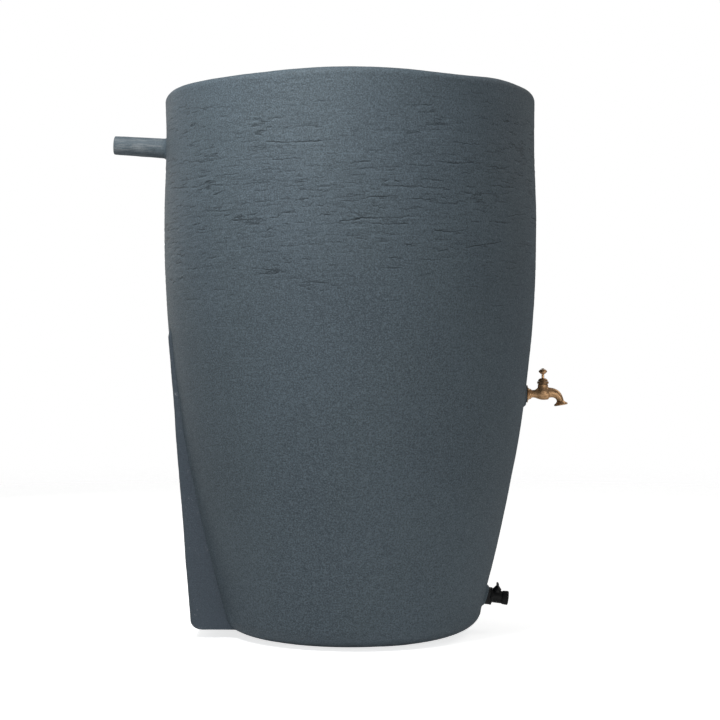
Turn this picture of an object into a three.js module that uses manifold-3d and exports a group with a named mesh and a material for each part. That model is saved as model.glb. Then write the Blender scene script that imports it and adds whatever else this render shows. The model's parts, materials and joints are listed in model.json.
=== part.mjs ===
// A rain barrel: a one-piece moulded urn with a flat back panel, a closed overflow stub and a dished,
// screened top, a brass garden tap part way up and a quarter-turn drain valve at the foot.
// Millimetres, +Z up. The origin is on the ground at the urn's axis, and +X points towards the two taps.

import * as THREE from "three";
import { mergeVertices } from "three/addons/utils/BufferGeometryUtils.js";
import Module from "manifold-3d";

const wasm = await Module();
wasm.setup();

// ---------------------------------------------------------------- driving dimensions

const HEIGHT = 980;
const WIDEST_RADIUS = 341.5;
const WIDEST_HEIGHT = 735;
const NECK_RADIUS = 338; // the slight waist under the rim
const NECK_HEIGHT = 915;
const FOOT_RADIUS = 169; // flat disc that stands on the ground
const HEEL_RADIUS = 241.3; // where the rounded heel turns into the side wall
const HEEL_HEIGHT = 42.5;
const WALL = 4.5; // moulded wall thickness

const RIM_RADIUS = 339;
const RIM_ROUND = 12; // outer rounding of the rim
const RIM_INNER_ROUND = 10;
const RIM_FLAT = 10; // flat strip on top of the rim

const DECK_HEIGHT = 912; // floor of the dished top, at its outer edge
const DECK_FALL = 6; // the floor drops this much towards the inlet
const DECK_FILLET = 18;
const SEAT_RADIUS = 92; // round step that the screen sits in
const SEAT_DEPTH = 5;
const INLET_RADIUS = 75;

const PANEL_HALF_WIDTH = 95; // flat back panel
const PANEL_FOOT_X = -286; // its back face at the foot
const PANEL_FOOT_Z = 16; // clearance under it
const PANEL_LEAN = THREE.MathUtils.degToRad(4.45);
const PANEL_TOP_Z = 540; // above this the panel dies into the urn
const PANEL_FADE_RISE = 64; // over this height
const PANEL_FADE_BACK = 12; // while its face draws in by this much
const PANEL_EDGE = 9; // rounding of its edges
const PANEL_CORNER = 15; // rounding of its foot, seen from the side

const STUB_HEIGHT = 890; // overflow stub, on the panel's side of the urn
const STUB_TILT = THREE.MathUtils.degToRad(3.4);
const STUB_LENGTH = 98.5; // beyond the wall
const STUB_ROOT_RADIUS = 18.2;
const STUB_END_RADIUS = 17;
const STUB_FLARE = 7;
const STUB_BURIED = 12; // the stub's root reaches this far into the urn

const TAP_HEIGHT = 436;
const TAP_FACE = 324.5; // the tap pad's flat face, from the axis
const DRAIN_HEIGHT = 63.2;
const DRAIN_FACE = 252;
const DRAIN_TILT = THREE.MathUtils.degToRad(7); // the valve points a little downwards
const DRAIN_PAD_LEAN = THREE.MathUtils.degToRad(17); // its pad lies along the sloping wall
const PAD_WALL = 5;
const PAD_DRAFT = 0.85; // how fast a pad's skirt widens towards the urn

const GAP = 0.3; // play between parts that rest on or run in each other

const SHELL_SEGMENTS = 40;
const RING_SEGMENTS = 36; // segments of the inlet and its screen
const ROUND = 18; // segments of a small turned part

// ---------------------------------------------------------------- solids from three.js shapes

function toManifold(geometry) {
  const bare = geometry.clone();
  bare.deleteAttribute("normal");
  bare.deleteAttribute("uv");
  const merged = mergeVertices(bare, 1e-4);
  const vertProperties = merged.attributes.position.array;
  const triVerts = new Uint32Array(merged.index.array);
  return new wasm.Manifold(new wasm.Mesh({ numProp: 3, vertProperties, triVerts }));
}

function toGeometry(manifold) {
  const mesh = manifold.getMesh();
  const geometry = new THREE.BufferGeometry();
  geometry.setAttribute("position", new THREE.Float32BufferAttribute(mesh.vertProperties, 3));
  geometry.setIndex(Array.from(mesh.triVerts));
  return geometry;
}

const join = (first, ...others) =>
  toGeometry(others.reduce((whole, next) => whole.add(toManifold(next)), toManifold(first)));

const cut = (first, ...others) =>
  toGeometry(others.reduce((whole, next) => whole.subtract(toManifold(next)), toManifold(first)));

// A profile of [radius, height] pairs turned about Z. It starts and ends on the axis, or closes on itself.
function turned(profile, segments = ROUND) {
  const points = profile.map(([radius, height]) => new THREE.Vector2(radius, height));
  return new THREE.LatheGeometry(points, segments).rotateX(Math.PI / 2);
}

// The same, about the outward X axis: heights become distances along X.
const turnedAlongX = (profile, segments = ROUND) => turned(profile, segments).rotateY(Math.PI / 2);

const rod = (radius, from, to) => [
  [0, from],
  [radius, from],
  [radius, to],
  [0, to],
];

const tube = (inner, outer, from, to) => [
  [inner, from],
  [outer, from],
  [outer, to],
  [inner, to],
  [inner, from],
];

function regularPolygon(acrossFlats, sides) {
  const corner = acrossFlats / 2 / Math.cos(Math.PI / sides);
  const corners = [];
  for (let i = 0; i < sides; i++) {
    const angle = ((i + 0.5) * 2 * Math.PI) / sides;
    corners.push(new THREE.Vector2(corner * Math.cos(angle), corner * Math.sin(angle)));
  }
  return new THREE.Shape(corners);
}

// A bar with flats, standing on Z from one height to another.
function flatSided(acrossFlats, sides, from, to) {
  const shape = regularPolygon(acrossFlats, sides);
  const bar = new THREE.ExtrudeGeometry(shape, { depth: to - from, bevelEnabled: false });
  return bar.translate(0, 0, from);
}

// A closed round sweep along a curve in the XZ plane, with the radius given along its length.
function sweep(curve, radiusAt, steps, segments = ROUND) {
  const positions = [];
  const index = [];
  for (let i = 0; i <= steps; i++) {
    const t = i / steps;
    const centre = curve.getPoint(t);
    const along = curve.getTangent(t);
    const across = new THREE.Vector3(-along.z, 0, along.x);
    for (let j = 0; j < segments; j++) {
      const angle = (j * 2 * Math.PI) / segments;
      const point = centre.clone().addScaledVector(across, radiusAt(t) * Math.cos(angle));
      positions.push(point.x, point.y + radiusAt(t) * Math.sin(angle), point.z);
    }
  }
  const ring = (i, j) => i * segments + (j % segments);
  for (let i = 0; i < steps; i++) {
    for (let j = 0; j < segments; j++) {
      index.push(ring(i, j), ring(i + 1, j), ring(i, j + 1));
      index.push(ring(i, j + 1), ring(i + 1, j), ring(i + 1, j + 1));
    }
  }
  for (let j = 1; j < segments - 1; j++) {
    index.push(ring(0, 0), ring(0, j), ring(0, j + 1));
    index.push(ring(steps, 0), ring(steps, j + 1), ring(steps, j));
  }
  const geometry = new THREE.BufferGeometry();
  geometry.setAttribute("position", new THREE.Float32BufferAttribute(positions, 3));
  geometry.setIndex(index);
  return geometry;
}

// ---------------------------------------------------------------- materials

const finish = (color, roughness, metalness = 0) =>
  new THREE.MeshStandardMaterial({ color, roughness, metalness });

const shellPlastic = finish(0x4c5962, 0.8);
const brass = finish(0x9a7b4f, 0.38, 1);
const paleBrass = finish(0xb98a55, 0.32, 1);
const blackPlastic = finish(0x1b1d1e, 0.5);
const rubber = finish(0x222222, 0.85);
const whiteSeal = finish(0xe6e4dc, 0.45);
const screenPlastic = finish(0x26292b, 0.6);

function part(name, geometry, material) {
  const mesh = new THREE.Mesh(geometry, material);
  mesh.name = name;
  return mesh;
}

// ---------------------------------------------------------------- barrel shell

const pairs = (curve, divisions) => curve.getPoints(divisions).map((point) => [point.x, point.y]);

function bezier(...corners) {
  return new THREE.CubicBezierCurve(...corners.map(([x, y]) => new THREE.Vector2(x, y)));
}

function arc(centreX, centreY, radius, from, to, clockwise = false) {
  return new THREE.EllipseCurve(centreX, centreY, radius, radius, from, to, clockwise);
}

// Outside of the urn and its dished top, from the middle of the base round to the middle of the top.
function urnOutline() {
  const heel = bezier(
    [FOOT_RADIUS, 0],
    [FOOT_RADIUS + 33, 0],
    [HEEL_RADIUS - 2.6, HEEL_HEIGHT - 29],
    [HEEL_RADIUS, HEEL_HEIGHT],
  );
  const side = bezier(
    [HEEL_RADIUS, HEEL_HEIGHT],
    [HEEL_RADIUS + 52, HEEL_HEIGHT + 200],
    [WIDEST_RADIUS, WIDEST_HEIGHT - 270],
    [WIDEST_RADIUS, WIDEST_HEIGHT],
  );
  const shoulder = bezier(
    [WIDEST_RADIUS, WIDEST_HEIGHT],
    [WIDEST_RADIUS, WIDEST_HEIGHT + 80],
    [NECK_RADIUS, NECK_HEIGHT - 70],
    [NECK_RADIUS, NECK_HEIGHT],
  );
  const draft = 6; // of the dish's wall
  const crown = RIM_RADIUS - RIM_ROUND;
  const lip = arc(crown, HEIGHT - RIM_ROUND, RIM_ROUND, 0, Math.PI / 2);
  const innerCrown = crown - RIM_FLAT;
  const innerLip = arc(innerCrown, HEIGHT - RIM_INNER_ROUND, RIM_INNER_ROUND, Math.PI / 2, Math.PI);
  const wallFoot = innerCrown - RIM_INNER_ROUND - draft;
  const fillet = arc(wallFoot - DECK_FILLET, DECK_HEIGHT + DECK_FILLET, DECK_FILLET, 0, -Math.PI / 2, true);
  const seatTop = DECK_HEIGHT - DECK_FALL;
  return [
    [0, 0],
    ...pairs(heel, 4),
    ...pairs(side, 7).slice(1),
    ...pairs(shoulder, 3).slice(1),
    ...pairs(lip, 3),
    ...pairs(innerLip, 2),
    ...pairs(fillet, 2),
    [SEAT_RADIUS + 2, seatTop],
    [SEAT_RADIUS, seatTop - SEAT_DEPTH],
    [0, seatTop - SEAT_DEPTH],
  ];
}

// The outline moved inwards by a wall thickness, with mitred corners and its ends kept on the axis.
function inset(outline, thickness) {
  const points = outline.map(([x, y]) => new THREE.Vector2(x, y));
  const last = points.length - 1;
  const inward = (a, b) => new THREE.Vector2(a.y - b.y, b.x - a.x).normalize();
  return points.map((point, i) => {
    const before = inward(points[Math.max(i - 1, 0)], points[Math.max(i, 1)]);
    const after = inward(points[Math.min(i, last - 1)], points[Math.min(i + 1, last)]);
    const middle = before.clone().add(after).normalize();
    const moved = point.clone().addScaledVector(middle, thickness / middle.dot(after));
    return i === 0 || i === last ? [0, moved.y] : [moved.x, moved.y];
  });
}

// The flat back panel, thickened or thinned by moving its faces inwards.
function backPanel(moved) {
  const back = (height) => PANEL_FOOT_X - (height - PANEL_FOOT_Z) * Math.tan(PANEL_LEAN) + moved;
  const foot = PANEL_FOOT_Z + moved;
  const corner = PANEL_CORNER - moved;
  const buried = -120; // inside the urn
  const side = new THREE.Shape();
  side.moveTo(buried, foot);
  side.lineTo(back(foot) + corner, foot);
  side.quadraticCurveTo(back(foot), foot, back(foot + corner), foot + corner);
  side.lineTo(back(PANEL_TOP_Z), PANEL_TOP_Z);
  side.lineTo(back(PANEL_TOP_Z) + PANEL_FADE_BACK, PANEL_TOP_Z + PANEL_FADE_RISE);
  side.lineTo(buried, PANEL_TOP_Z + PANEL_FADE_RISE);
  side.closePath();
  const bevel = PANEL_EDGE - moved;
  const depth = 2 * (PANEL_HALF_WIDTH - PANEL_EDGE);
  const options = { depth, bevelThickness: bevel, bevelSize: bevel, bevelOffset: -bevel, bevelSegments: 3 };
  const slab = new THREE.ExtrudeGeometry(side, { ...options, curveSegments: 4 });
  return slab.translate(0, 0, -depth / 2).rotateX(Math.PI / 2);
}

// The overflow stub, pointing outwards and slightly upwards from the urn's back.
function placedStub(profile) {
  const wallX = -NECK_RADIUS;
  return turnedAlongX(profile)
    .rotateY(Math.PI + STUB_TILT)
    .translate(wallX, 0, STUB_HEIGHT);
}

function stubOutside() {
  const flare = arc(STUB_ROOT_RADIUS + STUB_FLARE, STUB_FLARE, STUB_FLARE, -Math.PI / 2, -Math.PI, true);
  const bevel = 2;
  return placedStub([
    [0, -STUB_BURIED],
    [STUB_ROOT_RADIUS + STUB_FLARE, -STUB_BURIED],
    ...pairs(flare, 3),
    [STUB_END_RADIUS, STUB_LENGTH - bevel],
    [STUB_END_RADIUS - bevel, STUB_LENGTH],
    [0, STUB_LENGTH],
  ]);
}

function stubBore() {
  const mouth = -30; // well inside the hollow of the urn
  return placedStub([
    [0, mouth],
    [STUB_ROOT_RADIUS - WALL, mouth],
    [STUB_END_RADIUS - WALL, STUB_LENGTH - WALL],
    [0, STUB_LENGTH - WALL],
  ]);
}

// A fitting's place on the urn: X along the fitting's own axis, with its pad's face at X = 0.
const tapPlace = new THREE.Matrix4().makeTranslation(TAP_FACE, 0, TAP_HEIGHT);
const drainPlace = new THREE.Matrix4()
  .makeTranslation(DRAIN_FACE, 0, DRAIN_HEIGHT)
  .multiply(new THREE.Matrix4().makeRotationY(DRAIN_TILT));
const drainPadPlace = new THREE.Matrix4()
  .makeTranslation(DRAIN_FACE, 0, DRAIN_HEIGHT)
  .multiply(new THREE.Matrix4().makeRotationY(DRAIN_PAD_LEAN));

// A pad is a flat-faced boss with a drafted skirt; behind it the wall keeps its thickness.
function pad(place, faceRadius, depth) {
  const skirt = faceRadius + depth * PAD_DRAFT;
  return turnedAlongX([
    [0, -depth],
    [skirt, -depth],
    [faceRadius, 0],
    [0, 0],
  ]).applyMatrix4(place);
}

function padPocket(place, { face, depth, wall }) {
  const inner = face - 3; // the skirt stays a little thicker than the wall
  const from = -depth - wall;
  return turnedAlongX([
    [0, from],
    [inner + depth * PAD_DRAFT, from],
    [inner, -wall],
    [0, -wall],
  ]).applyMatrix4(place);
}

const TAP_PAD = { face: 21, depth: 14, hole: 8.8, wall: PAD_WALL };
const DRAIN_PAD = { face: 17.5, depth: 13, hole: 10.5, wall: 8 };

function fittingHole(place, radius) {
  const reach = { inwards: -40, outwards: 10 }; // clear through the wall and the pad
  return turnedAlongX(rod(radius, reach.inwards, reach.outwards)).applyMatrix4(place);
}

function barrelShell() {
  const outline = urnOutline();
  const outside = join(
    turned(outline, SHELL_SEGMENTS),
    backPanel(0),
    stubOutside(),
    pad(tapPlace, TAP_PAD.face, TAP_PAD.depth),
    pad(drainPadPlace, DRAIN_PAD.face, DRAIN_PAD.depth),
  );
  // Behind the leaning pad the wall is built up, so that the lock nut still bears squarely.
  const seatRadius = DRAIN_PAD.face + 2;
  const beyondPad = 20;
  const drainSeat = turnedAlongX(rod(seatRadius, -DRAIN_PAD.wall, beyondPad)).applyMatrix4(drainPlace);
  const inside = join(
    cut(turned(inset(outline, WALL), SHELL_SEGMENTS), drainSeat),
    backPanel(WALL),
    stubBore(),
    padPocket(tapPlace, TAP_PAD),
    padPocket(drainPlace, DRAIN_PAD),
  );
  const belowDeck = DECK_HEIGHT - 40;
  return cut(
    outside,
    inside,
    turned(rod(INLET_RADIUS, belowDeck, HEIGHT), RING_SEGMENTS),
    fittingHole(tapPlace, TAP_PAD.hole),
    fittingHole(drainPlace, DRAIN_PAD.hole),
  );
}

// ---------------------------------------------------------------- inlet screen

const SCREEN_SEAT = DECK_HEIGHT - DECK_FALL - SEAT_DEPTH;
const SCREEN_TUBE = { inner: 69, outer: 73, below: 12 };
const SCREEN_FLANGE = 3; // thickness of the rim that rests on the step
const GROOVE_RADIUS = 71.5;
const GROOVE_LOW = SCREEN_SEAT - 2;
const MESH_EDGE = 71; // the mesh's radius, inside the groove
const MESH_THICKNESS = 1;
const MESH_PITCH = 20;
const MESH_OPENING = 15;

// A flanged ring with a groove in its bore that holds the mesh.
function screenFrame() {
  const bottom = SCREEN_SEAT - SCREEN_TUBE.below;
  const flangeBottom = SCREEN_SEAT + GAP;
  const top = flangeBottom + SCREEN_FLANGE;
  const grooveHigh = GROOVE_LOW + MESH_THICKNESS + 2 * GAP;
  return turned(
    [
      [SCREEN_TUBE.inner, bottom],
      [SCREEN_TUBE.outer, bottom],
      [SCREEN_TUBE.outer, flangeBottom],
      [SEAT_RADIUS - 2, flangeBottom],
      [SEAT_RADIUS - 2, top - 1],
      [SEAT_RADIUS - 3, top],
      [SCREEN_TUBE.inner + 1, top],
      [SCREEN_TUBE.inner, top - 1],
      [SCREEN_TUBE.inner, grooveHigh],
      [GROOVE_RADIUS, grooveHigh],
      [GROOVE_RADIUS, GROOVE_LOW],
      [SCREEN_TUBE.inner, GROOVE_LOW],
      [SCREEN_TUBE.inner, bottom],
    ],
    RING_SEGMENTS,
  );
}

// A round sheet pierced by a square grid of openings, held in the ring's groove.
function screenMesh() {
  const bottom = GROOVE_LOW + GAP;
  const reach = Math.floor(MESH_EDGE / MESH_PITCH);
  const openings = [];
  for (let i = -reach; i <= reach; i++) {
    for (let j = -reach; j <= reach; j++) {
      const x = i * MESH_PITCH;
      const y = j * MESH_PITCH;
      const farCorner = Math.hypot(Math.abs(x) + MESH_OPENING / 2, Math.abs(y) + MESH_OPENING / 2);
      if (farCorner > SCREEN_TUBE.inner - 1) continue;
      const opening = new THREE.BoxGeometry(MESH_OPENING, MESH_OPENING, 4 * MESH_THICKNESS);
      openings.push(opening.translate(x, y, bottom));
    }
  }
  const sheet = turned(rod(MESH_EDGE, bottom, bottom + MESH_THICKNESS), RING_SEGMENTS);
  return cut(sheet, ...openings);
}

// ---------------------------------------------------------------- brass tap
// In the tap's own frame: X runs out from the pad's face along the tail, Z is up.

const TAIL_RADIUS = 8.3;
const SHOULDER_X = 7.8; // the body's shoulder that clamps the wall flange
const SPINDLE_X = 32; // the upright axis that the handle turns about
const SEAT_Z = 1; // top of the valve seat inside the body
const NECK_TOP = 17.8; // where the bonnet sits on the body
const LIP_RADIUS = 12.4;
const OUTLET = new THREE.Vector3(65, 0, -18);
const OUTLET_TILT = THREE.MathUtils.degToRad(10);
const TAP_LEAD = 2.5; // how far one turn of the handle lifts the spindle
const TAP_TURNS = 1.5;
const TAP_LIFT = TAP_LEAD * TAP_TURNS;
const JUMPER_TOP = 6; // top of the jumper's plate while the tap is shut
const THREAD_TOP = 14.2; // top of the spindle's lifting thread while the tap is shut

const atSpindle = (geometry) => geometry.translate(SPINDLE_X, 0, 0);

function curveInXZ(...corners) {
  return new THREE.CubicBezierCurve3(...corners.map(([x, z]) => new THREE.Vector3(x, 0, z)));
}

// The outlet's flared lip and the hollow in it, turned about the tilted outlet axis and placed at its end.
function atOutlet(profile) {
  return turned(profile).rotateY(-OUTLET_TILT).translate(OUTLET.x, OUTLET.y, OUTLET.z);
}

function tapBody() {
  const barrel = turnedAlongX([
    [0, -20],
    [TAIL_RADIUS, -20],
    [TAIL_RADIUS, SHOULDER_X],
    [9.4, SHOULDER_X],
    [9.2, SHOULDER_X + 1.6],
    [7.4, SHOULDER_X + 3.4],
    [7.6, 17],
    [9.2, SPINDLE_X - 9],
    [10.9, SPINDLE_X - 2],
    [10.9, SPINDLE_X + 2],
    [10, SPINDLE_X + 9],
    [0, SPINDLE_X + 13],
  ]);
  const neck = atSpindle(
    turned([
      [0, -8],
      [8, -8],
      [12.2, 5],
      [10.2, 8.5],
      [9.3, 12],
      [9.3, NECK_TOP],
      [0, NECK_TOP],
    ]),
  );
  const spoutRadius = (t) => 10.2 - 3.9 * Math.min(1, t / 0.65);
  const outlet = [OUTLET.x, OUTLET.z];
  const aboveOutlet = [OUTLET.x - 3, OUTLET.z + 14];
  const spout = sweep(curveInXZ([30, 1], [52, 5.5], aboveOutlet, outlet), spoutRadius, 8);
  const lip = atOutlet([
    [0, -2.6],
    [LIP_RADIUS, -2.6],
    [LIP_RADIUS, 0.2],
    [8.5, 2.4],
    [6.3, 6],
    [0, 6],
  ]);
  const inletBore = turnedAlongX(rod(5.5, -21, 12));
  const lowBore = turnedAlongX(rod(3.7, -5, SPINDLE_X + 3)).translate(0, 0, -4.8);
  const seatBore = atSpindle(turned(rod(3.5, -5, SEAT_Z + 1)));
  const chamber = atSpindle(turned(rod(6.9, SEAT_Z, 10)));
  const bonnetBore = atSpindle(turned(rod(7.4, 9, NECK_TOP + 1)));
  const spoutBore = sweep(curveInXZ([33.3, 4.8], [52, 6.8], aboveOutlet, outlet), () => 3.5, 7, 12);
  const lipHollow = atOutlet([
    [0, -3.6],
    [10.2, -3.6],
    [9.2, -0.6],
    [3.5, 3],
    [0, 3],
  ]);
  const outside = join(barrel, neck, spout, lip);
  return cut(outside, inletBore, lowBore, seatBore, chamber, bonnetBore, spoutBore, lipHollow);
}

function tapWallFlange() {
  const front = SHOULDER_X - GAP;
  const sweepBack = new THREE.QuadraticBezierCurve(
    new THREE.Vector2(16, 3.2),
    new THREE.Vector2(10.5, 3.6),
    new THREE.Vector2(9.8, front),
  );
  const bore = TAIL_RADIUS + GAP;
  return turnedAlongX([[bore, 2], [16, 2], ...pairs(sweepBack, 5), [bore, front], [bore, 2]]);
}

function tapBonnet() {
  const skirt = turned(rod(7.1, JUMPER_TOP + TAP_LIFT + GAP, 19));
  const hexagon = flatSided(20, 6, NECK_TOP + 1.1, 23);
  const boss = turned(rod(5.6, 22, 26));
  const threadBore = turned(rod(5.3, 8, THREAD_TOP + TAP_LIFT + GAP));
  const shaftBore = turned(rod(2.8, 18, 27));
  const packingBox = turned(rod(4.4, 21, 27));
  return atSpindle(cut(join(skirt, hexagon, boss), threadBore, shaftBore, packingBox));
}

function tapGlandNut() {
  const dome = turned([
    [0, 23.3],
    [9.2, 23.3],
    [9, 25],
    [7.2, 27.5],
    [4.6, 29],
    [0, 29],
  ]);
  return atSpindle(cut(dome, turned(rod(5.9, 22, 26.3)), turned(rod(2.8, 22, 30))));
}

// Coarse lifting thread at the foot, then the shaft, then the square that drives the handle.
function tapSpindle() {
  const shaft = turned([
    [0, 6.3],
    [5, 6.3],
    [5, THREAD_TOP],
    [2.5, THREAD_TOP],
    [2.5, 36.5],
    [0, 36.5],
  ]);
  const square = flatSided(3.9, 4, 36, 43);
  const jumperHole = turned(rod(2.2, 5, 13.4));
  const screwHole = turned(rod(1.3, 38.6, 44));
  return atSpindle(cut(join(shaft, square), jumperHole, screwHole));
}

function tapJumper() {
  return atSpindle(
    turned([
      [0, -0.4],
      [1.2, -0.4],
      [1.2, 4.3],
      [5.6, 4.3],
      [5.6, JUMPER_TOP],
      [1.9, JUMPER_TOP],
      [1.9, 12.6],
      [0, 12.6],
    ]),
  );
}

// A hub with two arms along Y that end in rounded lobes.
function tapHandle() {
  const hub = turned([
    [0, 36.8],
    [3.6, 36.8],
    [7.6, 40.6],
    [7.6, 42.6],
    [4.4, 45.4],
    [0, 45.4],
  ]);
  const armHeight = 41.6;
  const lobeReach = 17;
  const arm = (side) =>
    turned(rod(3.4, 0, 16), 10)
      .rotateX((-side * Math.PI) / 2)
      .translate(0, 0, armHeight);
  const lobe = (side) =>
    new THREE.SphereGeometry(5, 12, 8)
      .scale(0.9, 1.25, 0.9)
      .translate(0, side * lobeReach, armHeight);
  const socket = flatSided(4.5, 4, 36, 43.3);
  const screwHole = turned(rod(1.7, 40, 47));
  const whole = join(hub, arm(-1), arm(1), lobe(-1), lobe(1));
  return atSpindle(cut(whole, socket, screwHole));
}

function tapHandleScrew() {
  return atSpindle(
    turned([
      [0, 39],
      [1.1, 39],
      [1.1, 45.7],
      [3, 45.7],
      [2.6, 46.8],
      [1.2, 47.4],
      [0, 47.4],
    ]),
  );
}

function lockNut(boreRadius, acrossFlats, from, to) {
  const nut = flatSided(acrossFlats, 6, from, to);
  return cut(nut, turned(rod(boreRadius, from - 1, to + 1))).rotateY(Math.PI / 2);
}

function brassTap() {
  const group = new THREE.Group();
  const inside = -PAD_WALL - GAP;
  const tailBore = TAIL_RADIUS + GAP;
  group.add(
    part("tap_body", tapBody(), brass),
    part("tap_wall_flange", tapWallFlange(), paleBrass),
    part("tap_outer_gasket", turnedAlongX(tube(tailBore, 14.5, GAP, 1.7)), rubber),
    part("tap_inner_gasket", turnedAlongX(tube(tailBore, 14.5, inside - 2, inside)), rubber),
    part("tap_locknut", lockNut(tailBore, 27, inside - 2 - GAP - 6, inside - 2 - GAP), brass),
    part("tap_bonnet", tapBonnet(), paleBrass),
    part("tap_bonnet_washer", atSpindle(turned(tube(7.4, 8.9, NECK_TOP + 0.2, NECK_TOP + 0.9))), rubber),
    part("tap_gland_packing", atSpindle(turned(tube(2.75, 4.2, 21.3, 25.9))), whiteSeal),
    part("tap_gland_nut", tapGlandNut(), brass),
    part("tap_spindle", tapSpindle(), paleBrass),
    part("tap_jumper", tapJumper(), brass),
    part("tap_washer", atSpindle(turned(tube(1.5, 5.5, SEAT_Z + GAP, 4.1))), rubber),
    part("tap_washer_nut", atSpindle(cut(flatSided(4.4, 6, -0.2, 1), turned(rod(1.4, -1, 2), 16))), brass),
    part("tap_handle", tapHandle(), brass),
    part("tap_handle_screw", tapHandleScrew(), paleBrass),
  );
  group.applyMatrix4(tapPlace);
  return group;
}

// ---------------------------------------------------------------- drain valve
// In the valve's own frame: X runs out along the outlet, Z is the stem's axis.

const DRAIN_TAIL = 10;
const BALL_X = 18.2;
const BALL_RADIUS = 8.5;
const BORE_RADIUS = 5;
const CHAMBER_RADIUS = 9;
const BODY_RADIUS = 11.4;
const FLANGE_BACK = 5.5; // the hexagonal flange, along the valve
const FLANGE_FRONT = 9.7;
const STEM_RADIUS = 2.7;
const SEAT_FACE = 7; // distance of each seat's face from the ball's middle

const atBall = (geometry) => geometry.translate(BALL_X, 0, 0);

function drainBody() {
  const body = turnedAlongX([
    [0, -20],
    [DRAIN_TAIL, -20],
    [DRAIN_TAIL, FLANGE_BACK + 1],
    [BODY_RADIUS + 1, FLANGE_BACK + 1],
    [BODY_RADIUS + 1, FLANGE_FRONT],
    [BODY_RADIUS, FLANGE_FRONT + 1.2],
    [BODY_RADIUS, 27.8],
    [10.4, 27.8],
    [10.4, 33],
    [0, 33],
  ]);
  const hexagon = flatSided(30.5, 6, FLANGE_BACK, FLANGE_FRONT).rotateY(Math.PI / 2);
  const stemBoss = atBall(turned(rod(7, 0, 13)));
  const inlet = turnedAlongX(rod(BORE_RADIUS, -21, 12));
  const chamber = turnedAlongX(rod(CHAMBER_RADIUS, 8.6, 34));
  const stemHole = atBall(turned(rod(STEM_RADIUS + 0.2, 5, 14), 16));
  const sealPocket = atBall(turned(rod(4.6, 10.4, 14), 16));
  return cut(join(body, hexagon, stemBoss), inlet, chamber, stemHole, sealPocket);
}

// The ball's through hole lies along Y, across the flow, while the valve is shut.
function drainBall() {
  const ball = new THREE.SphereGeometry(BALL_RADIUS, 18, 12);
  const bore = turned(rod(BORE_RADIUS, -10, 10)).rotateX(Math.PI / 2);
  const slot = new THREE.BoxGeometry(3, 20, 3).translate(0, 0, BALL_RADIUS);
  return atBall(cut(ball, bore, slot));
}

function drainStem() {
  const shaft = turned(rod(STEM_RADIUS, 8.8, 13.1), 16);
  const tang = new THREE.BoxGeometry(2.2, 4.6, 2).translate(0, 0, 8.3);
  const square = flatSided(3.6, 4, 12.9, 17);
  return atBall(join(shaft, tang, square));
}

function drainStemSeal() {
  const bead = arc(3.75, 11.4, 0.75, -Math.PI / 2, (3 * Math.PI) / 2);
  return atBall(turned(pairs(bead, 8), 20));
}

// A conical hub under a thin upright wing that lies across the valve when it is shut.
function drainHandle() {
  const top = 26;
  const tip = 15;
  const hub = turned([
    [0, 13.4],
    [8.2, 13.4],
    [8.2, 14],
    [2.4, 21.4],
    [0, 21.4],
  ]);
  const outline = new THREE.Shape();
  outline.moveTo(-tip, 20.5);
  outline.quadraticCurveTo(-tip, top, -8, top);
  outline.lineTo(8, top);
  outline.quadraticCurveTo(tip, top, tip, 20.5);
  outline.quadraticCurveTo(6.5, 18.5, 5, 14);
  outline.lineTo(-5, 14);
  outline.quadraticCurveTo(-6.5, 18.5, -tip, 20.5);
  const thickness = 2.2;
  const wing = new THREE.ExtrudeGeometry(outline, { depth: thickness, bevelEnabled: false, curveSegments: 5 })
    .translate(0, 0, -thickness / 2)
    .rotateX(Math.PI / 2)
    .rotateZ(Math.PI / 2);
  const socket = flatSided(4.2, 4, 12, 17.3);
  return atBall(cut(join(hub, wing), socket));
}

function drainOutletCollar() {
  return turnedAlongX([
    [10.7, 28.2],
    [11.6, 28.2],
    [12.2, 30],
    [12.9, 38.2],
    [12.2, 40],
    [8.6, 40],
    [8.6, 33.6],
    [10.7, 33.6],
    [10.7, 28.2],
  ]);
}

// A wedge between the pad, which leans with the wall, and the back of the valve's flange.
function drainWedgeGasket(bore) {
  const radius = DRAIN_PAD.face - 1.5;
  const depth = 40; // of the block that cuts away all behind the leaning face
  const width = 60;
  const behind = new THREE.BoxGeometry(depth, width, width)
    .translate(GAP - depth / 2, 0, 0)
    .rotateY(DRAIN_PAD_LEAN - DRAIN_TILT);
  return cut(turnedAlongX(tube(bore, radius, -10, FLANGE_BACK - GAP)), behind);
}

function drainValve() {
  const group = new THREE.Group();
  const inside = -DRAIN_PAD.wall - GAP;
  const tailBore = DRAIN_TAIL + GAP;
  const gasket = DRAIN_PAD.face - 3.3;
  const ring = (inner, outer, from, to) => turnedAlongX(tube(inner, outer, from, to));
  const seatOuter = CHAMBER_RADIUS - 0.2;
  const seatInner = BORE_RADIUS + 0.4;
  group.add(
    part("drain_body", drainBody(), blackPlastic),
    part("drain_outer_gasket", drainWedgeGasket(tailBore), rubber),
    part("drain_inner_gasket", ring(tailBore, gasket, inside - 2, inside), rubber),
    part("drain_locknut", lockNut(tailBore, 28, inside - 2 - GAP - 7, inside - 2 - GAP), blackPlastic),
    part("drain_seat_inner", ring(seatInner, seatOuter, 8.9, BALL_X - SEAT_FACE), whiteSeal),
    part("drain_ball", drainBall(), whiteSeal),
    part("drain_seat_outer", ring(seatInner, seatOuter, BALL_X + SEAT_FACE, 27.1), whiteSeal),
    part("drain_retainer", ring(seatInner, seatOuter, 27.4, 32.6), blackPlastic),
    part("drain_outlet_collar", drainOutletCollar(), blackPlastic),
    part("drain_stem", drainStem(), blackPlastic),
    part("drain_stem_seal", drainStemSeal(), rubber),
    part("drain_handle", drainHandle(), blackPlastic),
  );
  group.applyMatrix4(drainPlace);
  return group;
}

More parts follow.
